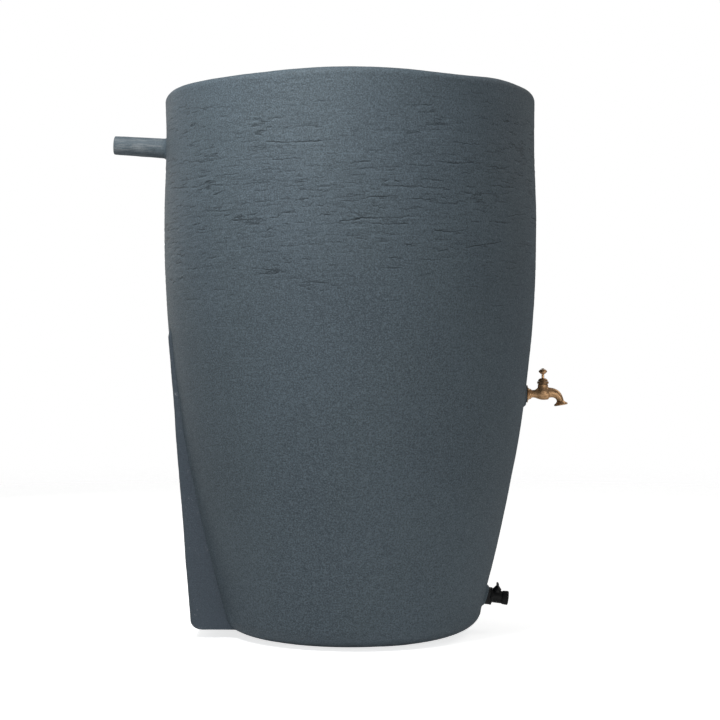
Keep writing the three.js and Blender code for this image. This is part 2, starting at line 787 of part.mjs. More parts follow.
// ---------------------------------------------------------------- assembly

const barrel = new THREE.Group();
barrel.add(
  part("barrel_shell", barrelShell(), shellPlastic),
  part("screen_frame", screenFrame(), screenPlastic),
  part("screen_mesh", screenMesh(), screenPlastic),
  brassTap(),
  drainValve(),
);

export default barrel;
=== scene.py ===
import json
import math

import bmesh
import bpy
import numpy as np
from mathutils import Matrix, Vector, noise


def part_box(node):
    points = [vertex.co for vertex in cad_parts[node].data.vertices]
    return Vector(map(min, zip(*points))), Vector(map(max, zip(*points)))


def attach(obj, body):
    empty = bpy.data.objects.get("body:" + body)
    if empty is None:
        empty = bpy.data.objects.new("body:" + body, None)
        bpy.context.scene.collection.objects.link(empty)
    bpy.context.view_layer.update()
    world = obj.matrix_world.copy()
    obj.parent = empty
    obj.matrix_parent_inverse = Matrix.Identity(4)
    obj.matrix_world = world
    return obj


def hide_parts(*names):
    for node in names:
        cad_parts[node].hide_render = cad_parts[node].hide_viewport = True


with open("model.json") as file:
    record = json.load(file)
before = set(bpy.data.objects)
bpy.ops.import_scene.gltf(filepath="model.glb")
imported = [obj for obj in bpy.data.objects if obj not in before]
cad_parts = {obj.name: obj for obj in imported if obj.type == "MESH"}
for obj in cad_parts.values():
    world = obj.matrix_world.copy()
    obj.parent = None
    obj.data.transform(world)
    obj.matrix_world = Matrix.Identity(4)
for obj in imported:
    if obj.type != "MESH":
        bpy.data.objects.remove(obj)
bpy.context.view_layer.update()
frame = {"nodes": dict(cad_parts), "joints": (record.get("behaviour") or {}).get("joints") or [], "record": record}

# Looks of a rain barrel. Lengths are in metres, in the frame's own axes: +Z up, +X towards the taps.

joints = {joint["name"]: joint for joint in frame["joints"]}
MM = 0.001

# ---------------------------------------- sizes taken from the frame

shell_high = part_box("barrel_shell")[1]
HEIGHT = shell_high.z
WIDEST_RADIUS = shell_high.y

# The tap's pad face and axis, and the drain valve's.
gasket_low, gasket_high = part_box("tap_outer_gasket")
SEAT_GAP = 0.3 * MM
TAP_ORIGIN = Vector((gasket_low.x - SEAT_GAP, 0, (gasket_low.z + gasket_high.z) / 2))
SPINDLE_X = joints["tap_handle_turn"]["pos_m"][0] - TAP_ORIGIN.x
stem_axis = Vector(joints["drain_handle_turn"]["axis"]).normalized()
DRAIN_TILT = math.atan2(stem_axis.x, stem_axis.z)
BALL_X = 18.2 * MM
drain_outward = Vector((math.cos(DRAIN_TILT), 0, -math.sin(DRAIN_TILT)))
DRAIN_ORIGIN = Vector(joints["drain_handle_turn"]["pos_m"]) - drain_outward * BALL_X

tap_place = Matrix.Translation(TAP_ORIGIN)
drain_place = Matrix.Translation(DRAIN_ORIGIN) @ Matrix.Rotation(DRAIN_TILT, 4, "Y")

# ---------------------------------------- mesh helpers


def mesh_object(name, vertices, faces, smooth=True):
    mesh = bpy.data.meshes.new(name)
    mesh.from_pydata([tuple(v) for v in vertices], [], faces)
    mesh.validate()
    if smooth:
        mesh.polygons.foreach_set("use_smooth", [True] * len(mesh.polygons))
    piece = bpy.data.objects.new(name, mesh)
    bpy.context.scene.collection.objects.link(piece)
    return piece


def drop(piece):
    bpy.data.objects.remove(piece, do_unlink=True)


def baked(piece):
    """The piece with its modifiers applied to its mesh."""
    graph = bpy.context.evaluated_depsgraph_get()
    mesh = bpy.data.meshes.new_from_object(piece.evaluated_get(graph), depsgraph=graph)
    piece.modifiers.clear()
    piece.data = mesh
    return piece


def placed(piece, matrix):
    piece.data.transform(matrix)
    piece.data.update()
    return piece


def turned(name, profile, segments=72, closed=False, shape=None):
    """A profile of (radius, height) in millimetres turned about Z. A closed profile joins its end to its
    start, and an open one starts and ends on the axis. shape(angle, radius, height) may change a radius."""
    angles = [2 * math.pi * i / segments for i in range(segments)]
    vertices = []
    rings = []
    for radius, height in profile:
        if radius == 0:
            rings.append([len(vertices)] * segments)
            vertices.append((0, 0, height * MM))
            continue
        rings.append(list(range(len(vertices), len(vertices) + segments)))
        for angle in angles:
            r = shape(angle, radius, height) if shape else radius
            vertices.append((r * MM * math.cos(angle), r * MM * math.sin(angle), height * MM))
    pairs = list(zip(rings, rings[1:]))
    if closed:
        pairs.append((rings[-1], rings[0]))
    faces = []
    for low, high in pairs:
        for i in range(segments):
            j = (i + 1) % segments
            corners = [low[i], low[j], high[j], high[i]]
            unique = list(dict.fromkeys(corners))
            if len(unique) > 2:
                faces.append(unique)
    return mesh_object(name, vertices, faces)


def along_x(piece):
    """Turns a piece from the Z axis to the X axis."""
    return placed(piece, Matrix.Rotation(math.pi / 2, 4, "Y"))


def rod(radius, start, end):
    return [(0, start), (radius, start), (radius, end), (0, end)]


def fix_normals(piece):
    work = bmesh.new()
    work.from_mesh(piece.data)
    bmesh.ops.recalc_face_normals(work, faces=work.faces)
    work.to_mesh(piece.data)
    work.free()


def boolean(piece, cutter, operation):
    modifier = piece.modifiers.new(operation, "BOOLEAN")
    modifier.operation = operation
    modifier.solver = "MANIFOLD"
    modifier.object = cutter
    baked(piece)
    drop(cutter)
    return piece


def cut(piece, *cutters):
    for cutter in cutters:
        boolean(piece, cutter, "DIFFERENCE")
    return piece


def join(piece, *others):
    for other in others:
        boolean(piece, other, "UNION")
    return piece


def softened(piece, width, segments=2, angle=30):
    """Rounds every edge sharper than the angle."""
    modifier = piece.modifiers.new("edges", "BEVEL")
    modifier.width = width * MM
    modifier.segments = segments
    modifier.limit_method = "ANGLE"
    modifier.angle_limit = math.radians(angle)
    modifier.harden_normals = False
    return piece


def smooth_by_angle(piece, angle=35):
    """Smooth shading that keeps edges sharper than the angle crisp."""
    mesh = piece.data
    work = bmesh.new()
    work.from_mesh(mesh)
    for edge in work.edges:
        edge.smooth = not (len(edge.link_faces) == 2 and edge.calc_face_angle(0) > math.radians(angle))
    for face in work.faces:
        face.smooth = True
    work.to_mesh(mesh)
    work.free()
    return piece


def cast(piece, voxel, passes):
    """Remeshes a piece to one even skin and relaxes it, so that its joins become the fillets of a casting."""
    remesh = piece.modifiers.new("skin", "REMESH")
    remesh.mode = "VOXEL"
    remesh.voxel_size = voxel * MM
    remesh.use_smooth_shade = True
    relax = piece.modifiers.new("relax", "SMOOTH")
    relax.factor = 0.5
    relax.iterations = passes
    return baked(piece)


def sweep(name, curve, radius_at, steps, segments=40):
    """A round bar along a plane curve in X and Z. curve(t) and radius_at(t) are in millimetres."""
    vertices = []
    for i in range(steps + 1):
        t = i / steps
        x, z = curve(t)
        ahead = curve(min(t + 0.01, 1.0))
        behind = curve(max(t - 0.01, 0.0))
        along = Vector((ahead[0] - behind[0], 0, ahead[1] - behind[1])).normalized()
        across = Vector((-along.z, 0, along.x))
        for j in range(segments):
            angle = 2 * math.pi * j / segments
            point = Vector((x, 0, z)) + across * radius_at(t) * math.cos(angle)
            vertices.append((point.x * MM, radius_at(t) * math.sin(angle) * MM, point.z * MM))
    faces = []
    for i in range(steps):
        for j in range(segments):
            k = (j + 1) % segments
            a = i * segments
            b = a + segments
            faces.append((a + j, b + j, b + k, a + k))
    faces.append(tuple(range(segments)))
    faces.append(tuple(reversed(range(steps * segments, (steps + 1) * segments))))
    return mesh_object(name, vertices, faces)


def bezier(p0, p1, p2, p3):
    def point(t):
        a = (1 - t) ** 3
        b = 3 * t * (1 - t) ** 2
        c = 3 * t * t * (1 - t)
        d = t**3
        return tuple(a * p + b * q + c * r + d * s for p, q, r, s in zip(p0, p1, p2, p3))

    return point


def hexagon(across_flats, chamfer=0.0, low=0.0, high=0.0):
    """A radius rule for turned(): six flats, with the corners turned off towards both ends."""

    def shape(angle, radius, height):
        sixth = math.pi / 3
        from_flat = (angle + sixth / 2) % sixth - sixth / 2
        flat = across_flats / 2 / math.cos(from_flat)
        edge = min(height - low, high - height)
        turned_off = across_flats / 2 + 0.6 + max(edge, 0) * 1.7 if chamfer else flat
        return min(radius, flat, turned_off)

    return shape


# ---------------------------------------- smooth noise on arrays


def lattice(ix, iy, iz, seed):
    """A repeatable random value from -1 to 1 for each whole-number corner."""
    h = (ix * 374761393 + iy * 668265263 + iz * 2147483647 + seed * 974634777) & 0xFFFFFFFF
    h = ((h ^ (h >> 13)) * 1274126177) & 0xFFFFFFFF
    h = (h ^ (h >> 16)) & 0xFFFFFFFF
    return h / 2147483647.5 - 1.0


def smooth_noise(points, scale, seed=0):
    """Value noise at points (n, 3); scale is the size of a feature on each axis."""
    p = points / np.asarray(scale, float)
    cell = np.floor(p).astype(np.int64)
    f = p - cell
    f = f * f * f * (f * (f * 6 - 15) + 10)
    total = np.zeros(len(points))
    for dx in (0, 1):
        for dy in (0, 1):
            for dz in (0, 1):
                weight = np.ones(len(points))
                for axis, d in enumerate((dx, dy, dz)):
                    weight = weight * (f[:, axis] if d else 1 - f[:, axis])
                corner = lattice(cell[:, 0] + dx, cell[:, 1] + dy, cell[:, 2] + dz, seed)
                total += weight * corner
    return total


def layered_noise(points, scale, octaves, seed=0):
    total = np.zeros(len(points))
    size = np.asarray(scale, float)
    strength = 1.0
    for octave in range(octaves):
        total += strength * smooth_noise(points, size, seed + octave)
        size = size / 2.03
        strength *= 0.5
    return total


# ---------------------------------------- barrel shell

WALL = 4.5 * MM
WIDEST_HEIGHT = 0.735
NECK_RADIUS = WIDEST_RADIUS - 3.5 * MM
NECK_HEIGHT = 0.915
FOOT_RADIUS = 0.169
HEEL = (0.2413, 0.0425)
RIM_RADIUS = WIDEST_RADIUS - 2.5 * MM
RIM_ROUND = 12 * MM
RIM_INNER_ROUND = 10 * MM
RIM_FLAT = 10 * MM
DECK_HEIGHT = HEIGHT - 0.068
DECK_FALL = 6 * MM
DECK_FILLET = 18 * MM
SCREEN_STEP = 5 * MM
STEP_RADIUS = 0.092
INLET_RADIUS = 0.075

PANEL_HALF_WIDTH = 0.095
PANEL_FOOT_X = 0.286
PANEL_FOOT_Z = 0.016
PANEL_SLOPE = math.tan(math.radians(4.45))
PANEL_TOP_Z = 0.540
PANEL_EDGE = 9 * MM
PANEL_CORNER = 15 * MM
PANEL_FILLET = 2 * MM
PANEL_FADE = 12 / 64  # above its top the panel draws in at this slope

TAP_PAD_RADIUS = 0.021
DRAIN_PAD_RADIUS = 0.0175
DRAIN_PAD_LEAN = math.radians(17)
PAD_DRAFT = 0.85


def arc_points(x, z, radius, start, end, count):
    angles = np.linspace(start, end, count)
    return [(x + radius * math.cos(a), z + radius * math.sin(a)) for a in angles]


def curve_points(curve, count):
    return [curve(t) for t in np.linspace(0, 1, count)]


def spaced(points, step):
    """The same polyline, walked in equal steps."""
    xy = np.array(points)
    lengths = np.concatenate([[0], np.cumsum(np.hypot(*np.diff(xy, axis=0).T))])
    count = max(2, int(round(lengths[-1] / step)) + 1)
    at = np.linspace(0, lengths[-1], count)
    return list(zip(np.interp(at, lengths, xy[:, 0]), np.interp(at, lengths, xy[:, 1])))


def urn_rows(step):
    """The urn's outside from the middle of the base to the edge of the inlet, as (radius, height) rows."""
    heel = bezier((FOOT_RADIUS, 0), (FOOT_RADIUS + 0.033, 0), (HEEL[0] - 0.0026, HEEL[1] - 0.029), HEEL)
    side = bezier(
        HEEL,
        (HEEL[0] + 0.052, HEEL[1] + 0.2),
        (WIDEST_RADIUS, WIDEST_HEIGHT - 0.27),
        (WIDEST_RADIUS, WIDEST_HEIGHT),
    )
    shoulder = bezier(
        (WIDEST_RADIUS, WIDEST_HEIGHT),
        (WIDEST_RADIUS, WIDEST_HEIGHT + 0.08),
        (NECK_RADIUS, NECK_HEIGHT - 0.07),
        (NECK_RADIUS, NECK_HEIGHT),
    )
    crown = RIM_RADIUS - RIM_ROUND
    inner_crown = crown - RIM_FLAT
    dish_foot = inner_crown - RIM_INNER_ROUND - 6 * MM
    seat_top = DECK_HEIGHT - DECK_FALL
    base = spaced([(0.0, 0.0), (FOOT_RADIUS, 0.0)], 4 * step)
    wall = (
        curve_points(heel, 60)
        + curve_points(side, 160)[1:]
        + curve_points(shoulder, 60)[1:]
        + arc_points(crown, HEIGHT - RIM_ROUND, RIM_ROUND, 0, math.pi / 2, 24)
        + arc_points(inner_crown, HEIGHT - RIM_INNER_ROUND, RIM_INNER_ROUND, math.pi / 2, math.pi, 18)
        + arc_points(dish_foot - DECK_FILLET, DECK_HEIGHT + DECK_FILLET, DECK_FILLET, 0, -math.pi / 2, 20)
    )
    rows = base + spaced(wall, step)[1:]
    deck = spaced([rows[-1], (STEP_RADIUS + 3 * MM, seat_top)], 2 * step)[1:]
    step_round = 1.2 * MM
    edge_x = STEP_RADIUS + 2 * MM + step_round
    step_edge = arc_points(edge_x, seat_top - step_round, step_round, math.pi / 2, math.pi, 5)
    seat = [(STEP_RADIUS + 1 * MM, seat_top - SCREEN_STEP + 0.8 * MM), (STEP_RADIUS, seat_top - SCREEN_STEP)]
    seat += [(STEP_RADIUS - 6 * MM, seat_top - SCREEN_STEP), (INLET_RADIUS + 1 * MM, seat_top - SCREEN_STEP)]
    hole = [(INLET_RADIUS, seat_top - SCREEN_STEP - 1 * MM)]
    return rows + deck + step_edge + seat + hole


def wall_radius_lookup(rows):
    """The urn's radius at a height on its outer side wall."""
    outer = [(r, z) for r, z in rows if r >= FOOT_RADIUS]
    top = int(np.argmax([z for _, z in outer]))
    radii = np.array([r for r, _ in outer[: top + 1]])
    heights = np.array([z for _, z in outer[: top + 1]])
    return lambda z: np.interp(z, heights, radii)


def smooth_max(a, b, blend):
    """The larger of two values, with a fillet of about the blend's size where they meet."""
    h = np.clip(0.5 + 0.5 * (a - b) / blend, 0, 1)
    return a * h + b * (1 - h) + blend * h * (1 - h)


def panel_radius(phi, z):
    """How far the flat back panel reaches from the axis, at an angle from -X and a height."""
    back = PANEL_FOOT_X + (z - PANEL_FOOT_Z) * PANEL_SLOPE
    above = np.clip(z - PANEL_TOP_Z, 0, None)
    back = back - above * (PANEL_SLOPE + PANEL_FADE)
    sink = np.clip(PANEL_FOOT_Z + PANEL_CORNER - z, 0, PANEL_CORNER)
    back = back - PANEL_CORNER + np.sqrt(np.clip(PANEL_CORNER**2 - sink**2, 0, None))
    side = np.full_like(back, PANEL_HALF_WIDTH)
    cosine = np.cos(phi)
    sine = np.abs(np.sin(phi)) + 1e-9
    reach = np.minimum(back / np.clip(cosine, 1e-3, None), side / sine)
    # The vertical edge is an arc: where the ray meets it, that is the reach.
    cx = back - PANEL_EDGE
    cy = side - PANEL_EDGE
    along = cx * cosine + cy * sine
    inside = along**2 - cx**2 - cy**2 + PANEL_EDGE**2
    hit = along + np.sqrt(np.clip(inside, 0, None))
    on_arc = (inside > 0) & (hit * cosine > cx) & (hit * sine > cy)
    reach = np.where(on_arc, np.minimum(hit, reach), reach)
    reach = np.where(cosine > 0.2, reach, 0)
    return np.where(z >= PANEL_FOOT_Z, reach, 0)


def pad_radius(theta, z, wall, origin, tilt, face):
    """How far a fitting's pad reaches from the axis, at an angle from +X and a height."""
    y = wall * np.sin(theta)
    rise = z - origin.z
    off_axis = np.hypot(y, rise / math.cos(tilt))
    x = origin.x + rise * math.tan(tilt) - np.clip(off_axis - face, 0, None) / PAD_DRAFT
    return np.where(np.cos(theta) > 0.5, x / np.clip(np.cos(theta), 0.5, None), 0)


def shell_columns(step_degrees, fine_degrees):
    """Angles round the urn from -X, closer together where the panel's side faces run outwards."""
    fine_from, fine_to = 14.0, 26.0
    half = list(np.arange(0, fine_from, step_degrees))
    half += list(np.arange(fine_from, fine_to, fine_degrees))
    half += list(np.arange(fine_to, 180 - step_degrees / 2, step_degrees))
    half = np.array(half + [180.0])
    return np.radians(np.concatenate([half, -half[-2:0:-1]]))


# Detail of the moulded surface -------------------------------------------------

DETAIL_SEED = 7
rng = np.random.default_rng(DETAIL_SEED)


def split_profile(above):
    """Relief across a split in slate: it rises to an edge, drops at once and recovers slowly underneath."""
    rise = 0.35 * np.exp(-np.clip(above, 0, None) / (5 * MM))
    drop = -np.exp(np.clip(above, None, 0) / (2.2 * MM))
    edge = np.clip(above / SPLIT_WIDTH + 0.5, 0, 1)
    return drop * (1 - edge) + rise * edge


class SlateRelief:
    """Collects splits on the side wall. arc is the distance round the urn from its back, z the height."""

    def __init__(self, arc, z):
        self.arc = arc
        self.z = z
        self.height = np.zeros(len(z))
        self.offset = np.full(len(z), 8.0)
        self.strength = np.zeros(len(z))
        self.weight = np.zeros(len(z))
        self.order = np.argsort(z)
        self.sorted_z = z[self.order]

    def split(self, centre, level, length, depth, rise=0.0, jag=1.0, hook=0.0, pale=False):
        """One split, with the height it cuts and the line it draws: painted shade along the step, with a painted
        highlight just below it. A pale one is a scratch.
        """
        around = 2 * math.pi * WIDEST_RADIUS
        first, last = np.searchsorted(self.sorted_z, (level - 0.03, level + 0.03))
        band = self.order[first:last]
        u = (self.arc[band] - centre + around / 2) % around - around / 2
        near = np.abs(u) < length / 2
        band = band[near]
        u = u[near]
        knots = max(4, int(length / rng.uniform(0.0028, 0.006)))
        at = np.sort(rng.uniform(-length / 2, length / 2, knots))
        walk = np.cumsum(rng.normal(0, 0.42 * MM * jag, knots)) + rng.normal(0, 0.35 * MM * jag, knots)
        walk = walk - np.interp(at, [at[0], at[-1]], [walk[0], walk[-1]]) + rise * at / length
        walk[0] -= hook
        walk[-1] += 0.5 * hook
        line = level + np.interp(u, at, walk)
        ends = np.clip((1 - np.abs(u) * 2 / length) * 5, 0, 1)
        strength = np.interp(u, np.linspace(-length / 2, length / 2, 7), rng.uniform(0.35, 1.0, 7)) * ends
        above = self.z[band] - line
        self.height[band] += depth * strength * split_profile(above)
        drawn = strength * min(1.0, depth / (0.7 * MM))
        weight = drawn * np.exp(-np.abs(above) / (2.5 * MM))
        stronger = weight > self.weight[band]
        chosen = band[stronger]
        self.weight[chosen] = weight[stronger]
        self.offset[chosen] = above[stronger] / MM
        self.strength[chosen] = drawn[stronger] * (-1 if pale else 1)

    def cluster(self, centre, level, width, tall, count, depth):
        """Short jagged splits scattered about one spot."""
        for _ in range(count):
            self.split(
                centre + rng.normal(0, width / 2),
                level + rng.normal(0, tall / 2),
                rng.uniform(0.006, 0.030),
                depth * rng.uniform(0.5, 1.1),
                rise=rng.normal(0, 2 * MM),
                jag=1.9,
            )


# The splits that show most on the front: degrees round from the middle of the front (towards the taps),
# height, length, depth, rise and hook, in millimetres.
FRONT_SPLITS = [
    (-16, 859, 112, 0.9, -3, 0),
    (-20, 853, 70, 0.35, -2, 0),
    (-62, 800, 90, 0.9, -8, 0),
    (-42, 794, 42, 0.8, -2, 0),
    (-41, 781, 24, 1.0, 2, 2),
    (-18, 742, 34, 1.3, -1, 5),
    (-23, 714, 13, 0.9, 4, 0),
    (-21, 714, 12, 0.9, -4, 0),
    (-50, 732, 32, 1.0, -1, 2),
    (-31, 731, 62, 0.8, -3, 0),
    (-30, 727, 50, 0.5, -3, 0),
    (0, 729, 36, 0.9, 3, 2),
    (8, 732, 96, 0.9, 2, 3),
    (10, 723, 80, 0.7, 1, -3),
    (29, 714, 68, 1.0, 3, 4),
    (59, 752, 90, 0.9, 10, 4),
    (50, 735, 50, 0.6, 2, 0),
    (-44, 672, 26, 0.9, 0, 2),
    (-24, 650, 62, 0.8, -4, 0),
    (-23, 643, 34, 1.1, -1, 2),
    (-10, 625, 50, 0.6, 0, 0),
    (42, 694, 100, 0.8, 16, 0),
    (33, 829, 62, 0.8, 3, 0),
    (4, 823, 24, 0.9, 0, 2),
    (48, 828, 76, 0.8, 5, 0),
    (18, 785, 120, 0.8, 1, 0),
    (51, 797, 74, 0.9, 4, 2),
    (8, 766, 70, 0.7, 1, 3),
    (21, 764, 50, 0.7, 2, -2),
    (10, 793, 10, 0.9, 4, 0),
    (13, 793, 10, 0.9, -4, 0),
    (-47, 929, 150, 0.35, -12, 0),
    (-52, 843, 96, 0.4, -7, 0),
]
# Pale scratches: degrees round, height, length and rise.
FRONT_SCRATCHES = [
    (-60, 848, 110, 9),
    (-57, 787, 60, 5),
    (-46, 782, 14, 1),
    (13, 780, 110, 4),
    (40, 762, 110, 1),
    (-41, 554, 130, -2),
    (-31, 502, 95, -1),
    (-38, 858, 40, -3),
    (-12, 853, 60, 0),
    (8, 731, 60, 0),
]
# Clusters of short splits: degrees round, height, width, tallness and count.
FRONT_CLUSTERS = [
    (-55, 896, 60, 14, 9),
    (-25, 882, 40, 16, 8),
    (-38, 851, 90, 14, 10),
    (72, 830, 60, 60, 12),
    (-24, 655, 50, 14, 8),
    (-9, 622, 60, 18, 7),
    (25, 900, 60, 30, 8),
    (40, 780, 70, 30, 9),
    (5, 735, 110, 22, 16),
    (-30, 735, 90, 18, 14),
    (-48, 800, 70, 20, 12),
    (15, 690, 110, 40, 12),
    (55, 905, 60, 30, 14),
    (64, 862, 60, 40, 16),
    (75, 905, 60, 40, 10),
    (-62, 680, 80, 50, 16),
]
SPLIT_WIDTH = 1.2 * MM
FRONT = math.pi / 2  # angle of the front, from the back panel


def round_from_front(degrees):
    return (FRONT + math.radians(degrees)) * WIDEST_RADIUS


def surface_detail(points, arc, on_wall, on_side):
    """Height of the moulded texture over the smooth urn, in metres, and the lines of its splits: how far
    above the nearest line a point is, in millimetres, and how strong that line is there."""
    z = points[:, 2]
    relief = SlateRelief(arc, z)
    for degrees, level, length, depth, rise, hook in FRONT_SPLITS:
        centre = round_from_front(degrees)
        relief.split(centre, level * MM, length * MM, depth * MM, rise * MM, 1.35, hook * MM)
    for degrees, level, width, tall, count in FRONT_CLUSTERS:
        centre = round_from_front(degrees)
        relief.cluster(centre, level * MM, width * MM, tall * MM, count, 0.72 * MM)
    for degrees, level, length, rise in FRONT_SCRATCHES:
        centre = round_from_front(degrees)
        relief.split(centre, level * MM, length * MM, 0.3 * MM, rise * MM, 0.5, pale=True)
    front_arc = FRONT * WIDEST_RADIUS
    for _ in range(170):
        centre = front_arc + rng.uniform(0.2, 0.8) * 2 * math.pi * WIDEST_RADIUS
        length = rng.choice([rng.uniform(0.02, 0.05), rng.uniform(0.05, 0.12)])
        level = rng.uniform(0.62, 0.94)
        depth = rng.uniform(0.4, 1.1) * MM
        relief.split(centre, level, length, depth, rng.normal(0, 4) * MM)
    for _ in range(14):
        centre = front_arc + rng.uniform(0.2, 0.8) * 2 * math.pi * WIDEST_RADIUS
        relief.cluster(centre, rng.uniform(0.64, 0.92), 0.07, 0.02, 8, 0.7 * MM)
    for _ in range(2000):
        centre = rng.uniform(-math.pi, math.pi) * WIDEST_RADIUS
        level = rng.triangular(0.56, 0.83, 0.96)
        depth = rng.uniform(0.14, 0.52) * MM
        relief.split(centre, level, rng.uniform(0.006, 0.045), depth, jag=1.3, pale=rng.random() < 0.2)
    share = z / HEIGHT
    stone = np.clip((share - 0.46) / 0.16, 0, 1)
    patch = np.clip(0.35 + layered_noise(points, (0.12, 0.12, 0.06), 2, 31), 0, 1)
    flakes = layered_noise(points, (0.020, 0.020, 0.0036), 3, 41)
    detail = relief.height * on_side
    detail += stone * patch * flakes * 0.34 * MM
    detail += smooth_noise(points, (0.11, 0.11, 0.07), 51) * 0.7 * MM
    detail += smooth_noise(points, (0.03, 0.03, 0.02), 61) * 0.14 * MM
    detail += layered_noise(points, (0.0055, 0.0055, 0.0045), 2, 71) * 0.08 * MM
    relief.strength[on_wall * on_side == 0] = 0
    return detail * on_wall, relief.offset, relief.strength


def rim_sway(angle):
    """How far the rim rises and falls on its way round, with one raised stretch towards the taps."""
    waves = 5
    raised_at = 0.85  # radians round from the front
    raised_width = 0.16
    circle = np.stack([np.cos(angle), np.sin(angle), np.zeros_like(angle)], axis=1)
    sway = 0.4 * layered_noise(circle, (0.22, 0.22, 1), 2, 81) + 2.6 * np.cos(waves * (angle - FRONT)) - 0.8
    raised = 4.2 * np.exp(-(((angle - FRONT - raised_at) / raised_width) ** 2))
    return (sway + raised) * 0.7 * MM


def shell_rows():
    """The urn's rows, crowded near the panel's foot, and which of them make the foot's underside."""
    rows = urn_rows(1.5 * MM)
    wall_at = wall_radius_lookup(rows)
    under = [PANEL_FOOT_Z + offset * MM for offset in np.linspace(-0.9, 0, 9)]
    bend = [PANEL_FOOT_Z + PANEL_CORNER * (1 - math.cos(a)) for a in np.linspace(0, math.pi / 2, 12)[1:]]
    crowded = [(float(wall_at(z)), z) for z in under + bend]
    first = next(i for i, (r, z) in enumerate(rows) if r > FOOT_RADIUS and z > under[0] - 0.5 * MM)
    after = next(i for i, (r, z) in enumerate(rows) if r > FOOT_RADIUS and z > bend[-1] + 0.5 * MM)
    return rows[:first] + crowded + rows[after:], range(first, first + len(under))


def outward_normals(grid):
    """Unit normals from the grid's own directions, along its columns and along its rows."""
    up = np.gradient(grid, axis=0)
    round_about = np.roll(grid, -1, axis=1) - np.roll(grid, 1, axis=1)
    normal = np.cross(round_about, up)
    length = np.linalg.norm(normal, axis=-1, keepdims=True)
    normal = normal / np.maximum(length, 1e-12)
    normal[0] = (0, 0, -1)
    return normal


def barrel_shell():
    rows, under_rows = shell_rows()
    phi = shell_columns(0.36, 0.2)
    count = len(phi)
    row_radii, row_heights = np.array(rows).T
    radius, angle = np.meshgrid(row_radii, phi, indexing="ij")
    height = np.meshgrid(row_heights, phi, indexing="ij")[0]
    reach = radius.copy()
    top_row = int(np.argmax(row_heights))
    side = (radius >= FOOT_RADIUS) & (np.arange(len(rows))[:, None] <= top_row)
    panel = panel_radius(angle, height)
    with_panel = np.where(panel > 0.1, smooth_max(reach, panel, PANEL_FILLET), reach)
    for k, row in enumerate(under_rows):
        underside = panel_radius(angle[row], np.full_like(angle[row], PANEL_FOOT_Z))
        full = smooth_max(reach[row], underside, PANEL_FILLET)
        with_panel[row] = reach[row] + (full - reach[row]) * k / (len(under_rows) - 1)
    theta = angle + math.pi
    tap_pad = pad_radius(theta, height, reach, TAP_ORIGIN, 0.0, TAP_PAD_RADIUS)
    drain_pad = pad_radius(theta, height, reach, DRAIN_ORIGIN, DRAIN_PAD_LEAN, DRAIN_PAD_RADIUS)
    with_pads = with_panel
    for pad in (tap_pad, drain_pad):
        close = pad > reach - 0.02
        with_pads = np.where(close, smooth_max(with_pads, pad, 3 * MM), with_pads)
    reach = np.where(side, with_pads, reach)

    grid = np.stack([-reach * np.cos(angle), -reach * np.sin(angle), height], axis=-1)
    arc = angle * WIDEST_RADIUS

    normal = outward_normals(grid)

    near_pad = np.maximum(tap_pad, drain_pad) > reach - 1.5 * MM
    keep_flat = near_pad | (height < 4 * MM) & (radius < FOOT_RADIUS + 0.02)
    keep_flat = keep_flat | (~side & (radius < STEP_RADIUS + 0.015))
    on_wall = np.where(keep_flat, 0.0, 1.0)
    flat_points = grid.reshape(-1, 3)
    on_side = side.reshape(-1).astype(float)
    detail, offset, strength = surface_detail(flat_points, arc.reshape(-1), on_wall.reshape(-1), on_side)
    shaped = flat_points + normal.reshape(-1, 3) * detail[:, None]
    # The rim is not quite level.
    rim_share = np.clip((flat_points[:, 2] - (HEIGHT - 0.03)) / 0.03, 0, 1)
    flat_angle = angle.reshape(-1)
    shaped[:, 2] += rim_sway(flat_angle) * rim_share
    outside = shaped.reshape(len(rows), count, 3)

    # The inside follows the smooth outside one wall thickness in, on fewer rows.
    inner_rows = list(range(0, len(rows) - 1, 14))
    inner_rows = [i for i in inner_rows if i not in under_rows]
    inside = grid[inner_rows] - normal[inner_rows] * WALL
    inside[0] = (0, 0, WALL)
    lip = outside[-1] - np.array([0, 0, WALL - 1 * MM])

    vertices = [tuple(outside[0, 0])]
    rings = [[0] * count]
    for ring in list(outside[1:]) + [lip] + list(inside[:0:-1]):
        rings.append(list(range(len(vertices), len(vertices) + count)))
        vertices.extend(map(tuple, ring))
    rings.append([len(vertices)] * count)
    vertices.append((0, 0, WALL))
    faces = []
    for low, high in zip(rings, rings[1:]):
        for i in range(count):
            j = (i + 1) % count
            corners = list(dict.fromkeys((low[i], low[j], high[j], high[i])))
            faces.append(corners)
    shell = mesh_object("shell", vertices, faces)
    # Masks for painted light: close is the crease along the back panel, painted as shade; on_panel is the panel,
    # painted darker as shade and rubbed pale as wear.
    close = np.exp(-(((panel - radius) / (2.2 * MM)) ** 2)) * (panel > 0.1) * side
    on_panel = np.clip((panel - radius) / (2 * MM), 0, 1) * (panel > 0.1) * side
    offset = offset.reshape(len(rows), count)
    strength = strength.reshape(len(rows), count)
    layers = (("crease_shade", close), ("panel", on_panel), ("split_offset", offset), ("split_strength", strength))
    for name, share in layers:
        values = np.zeros(len(vertices), np.float32)
        values[1 : 1 + (len(rows) - 1) * count] = share[1:].reshape(-1)
        shell.data.attributes.new(name, "FLOAT", "POINT").data.foreach_set("value", values)
    join(shell, overflow_stub())
    cut(shell, fitting_hole(tap_place, 8.8), fitting_hole(drain_place, 10.5), stub_bore())
    return shell


STUB_HEIGHT = 0.890
STUB_TILT = math.radians(3.4)
STUB_LENGTH = 98.5
STUB_ROOT = 18.2
STUB_END = 17.0
STUB_FLARE = 7.0
STUB_BURIED = 12
STUB_MOUTH = -30  # the bore starts this far inside the urn


def place_stub(piece):
    turn = Matrix.Rotation(math.pi + STUB_TILT, 4, "Y")
    return placed(along_x(piece), Matrix.Translation((-NECK_RADIUS, 0, STUB_HEIGHT)) @ turn)


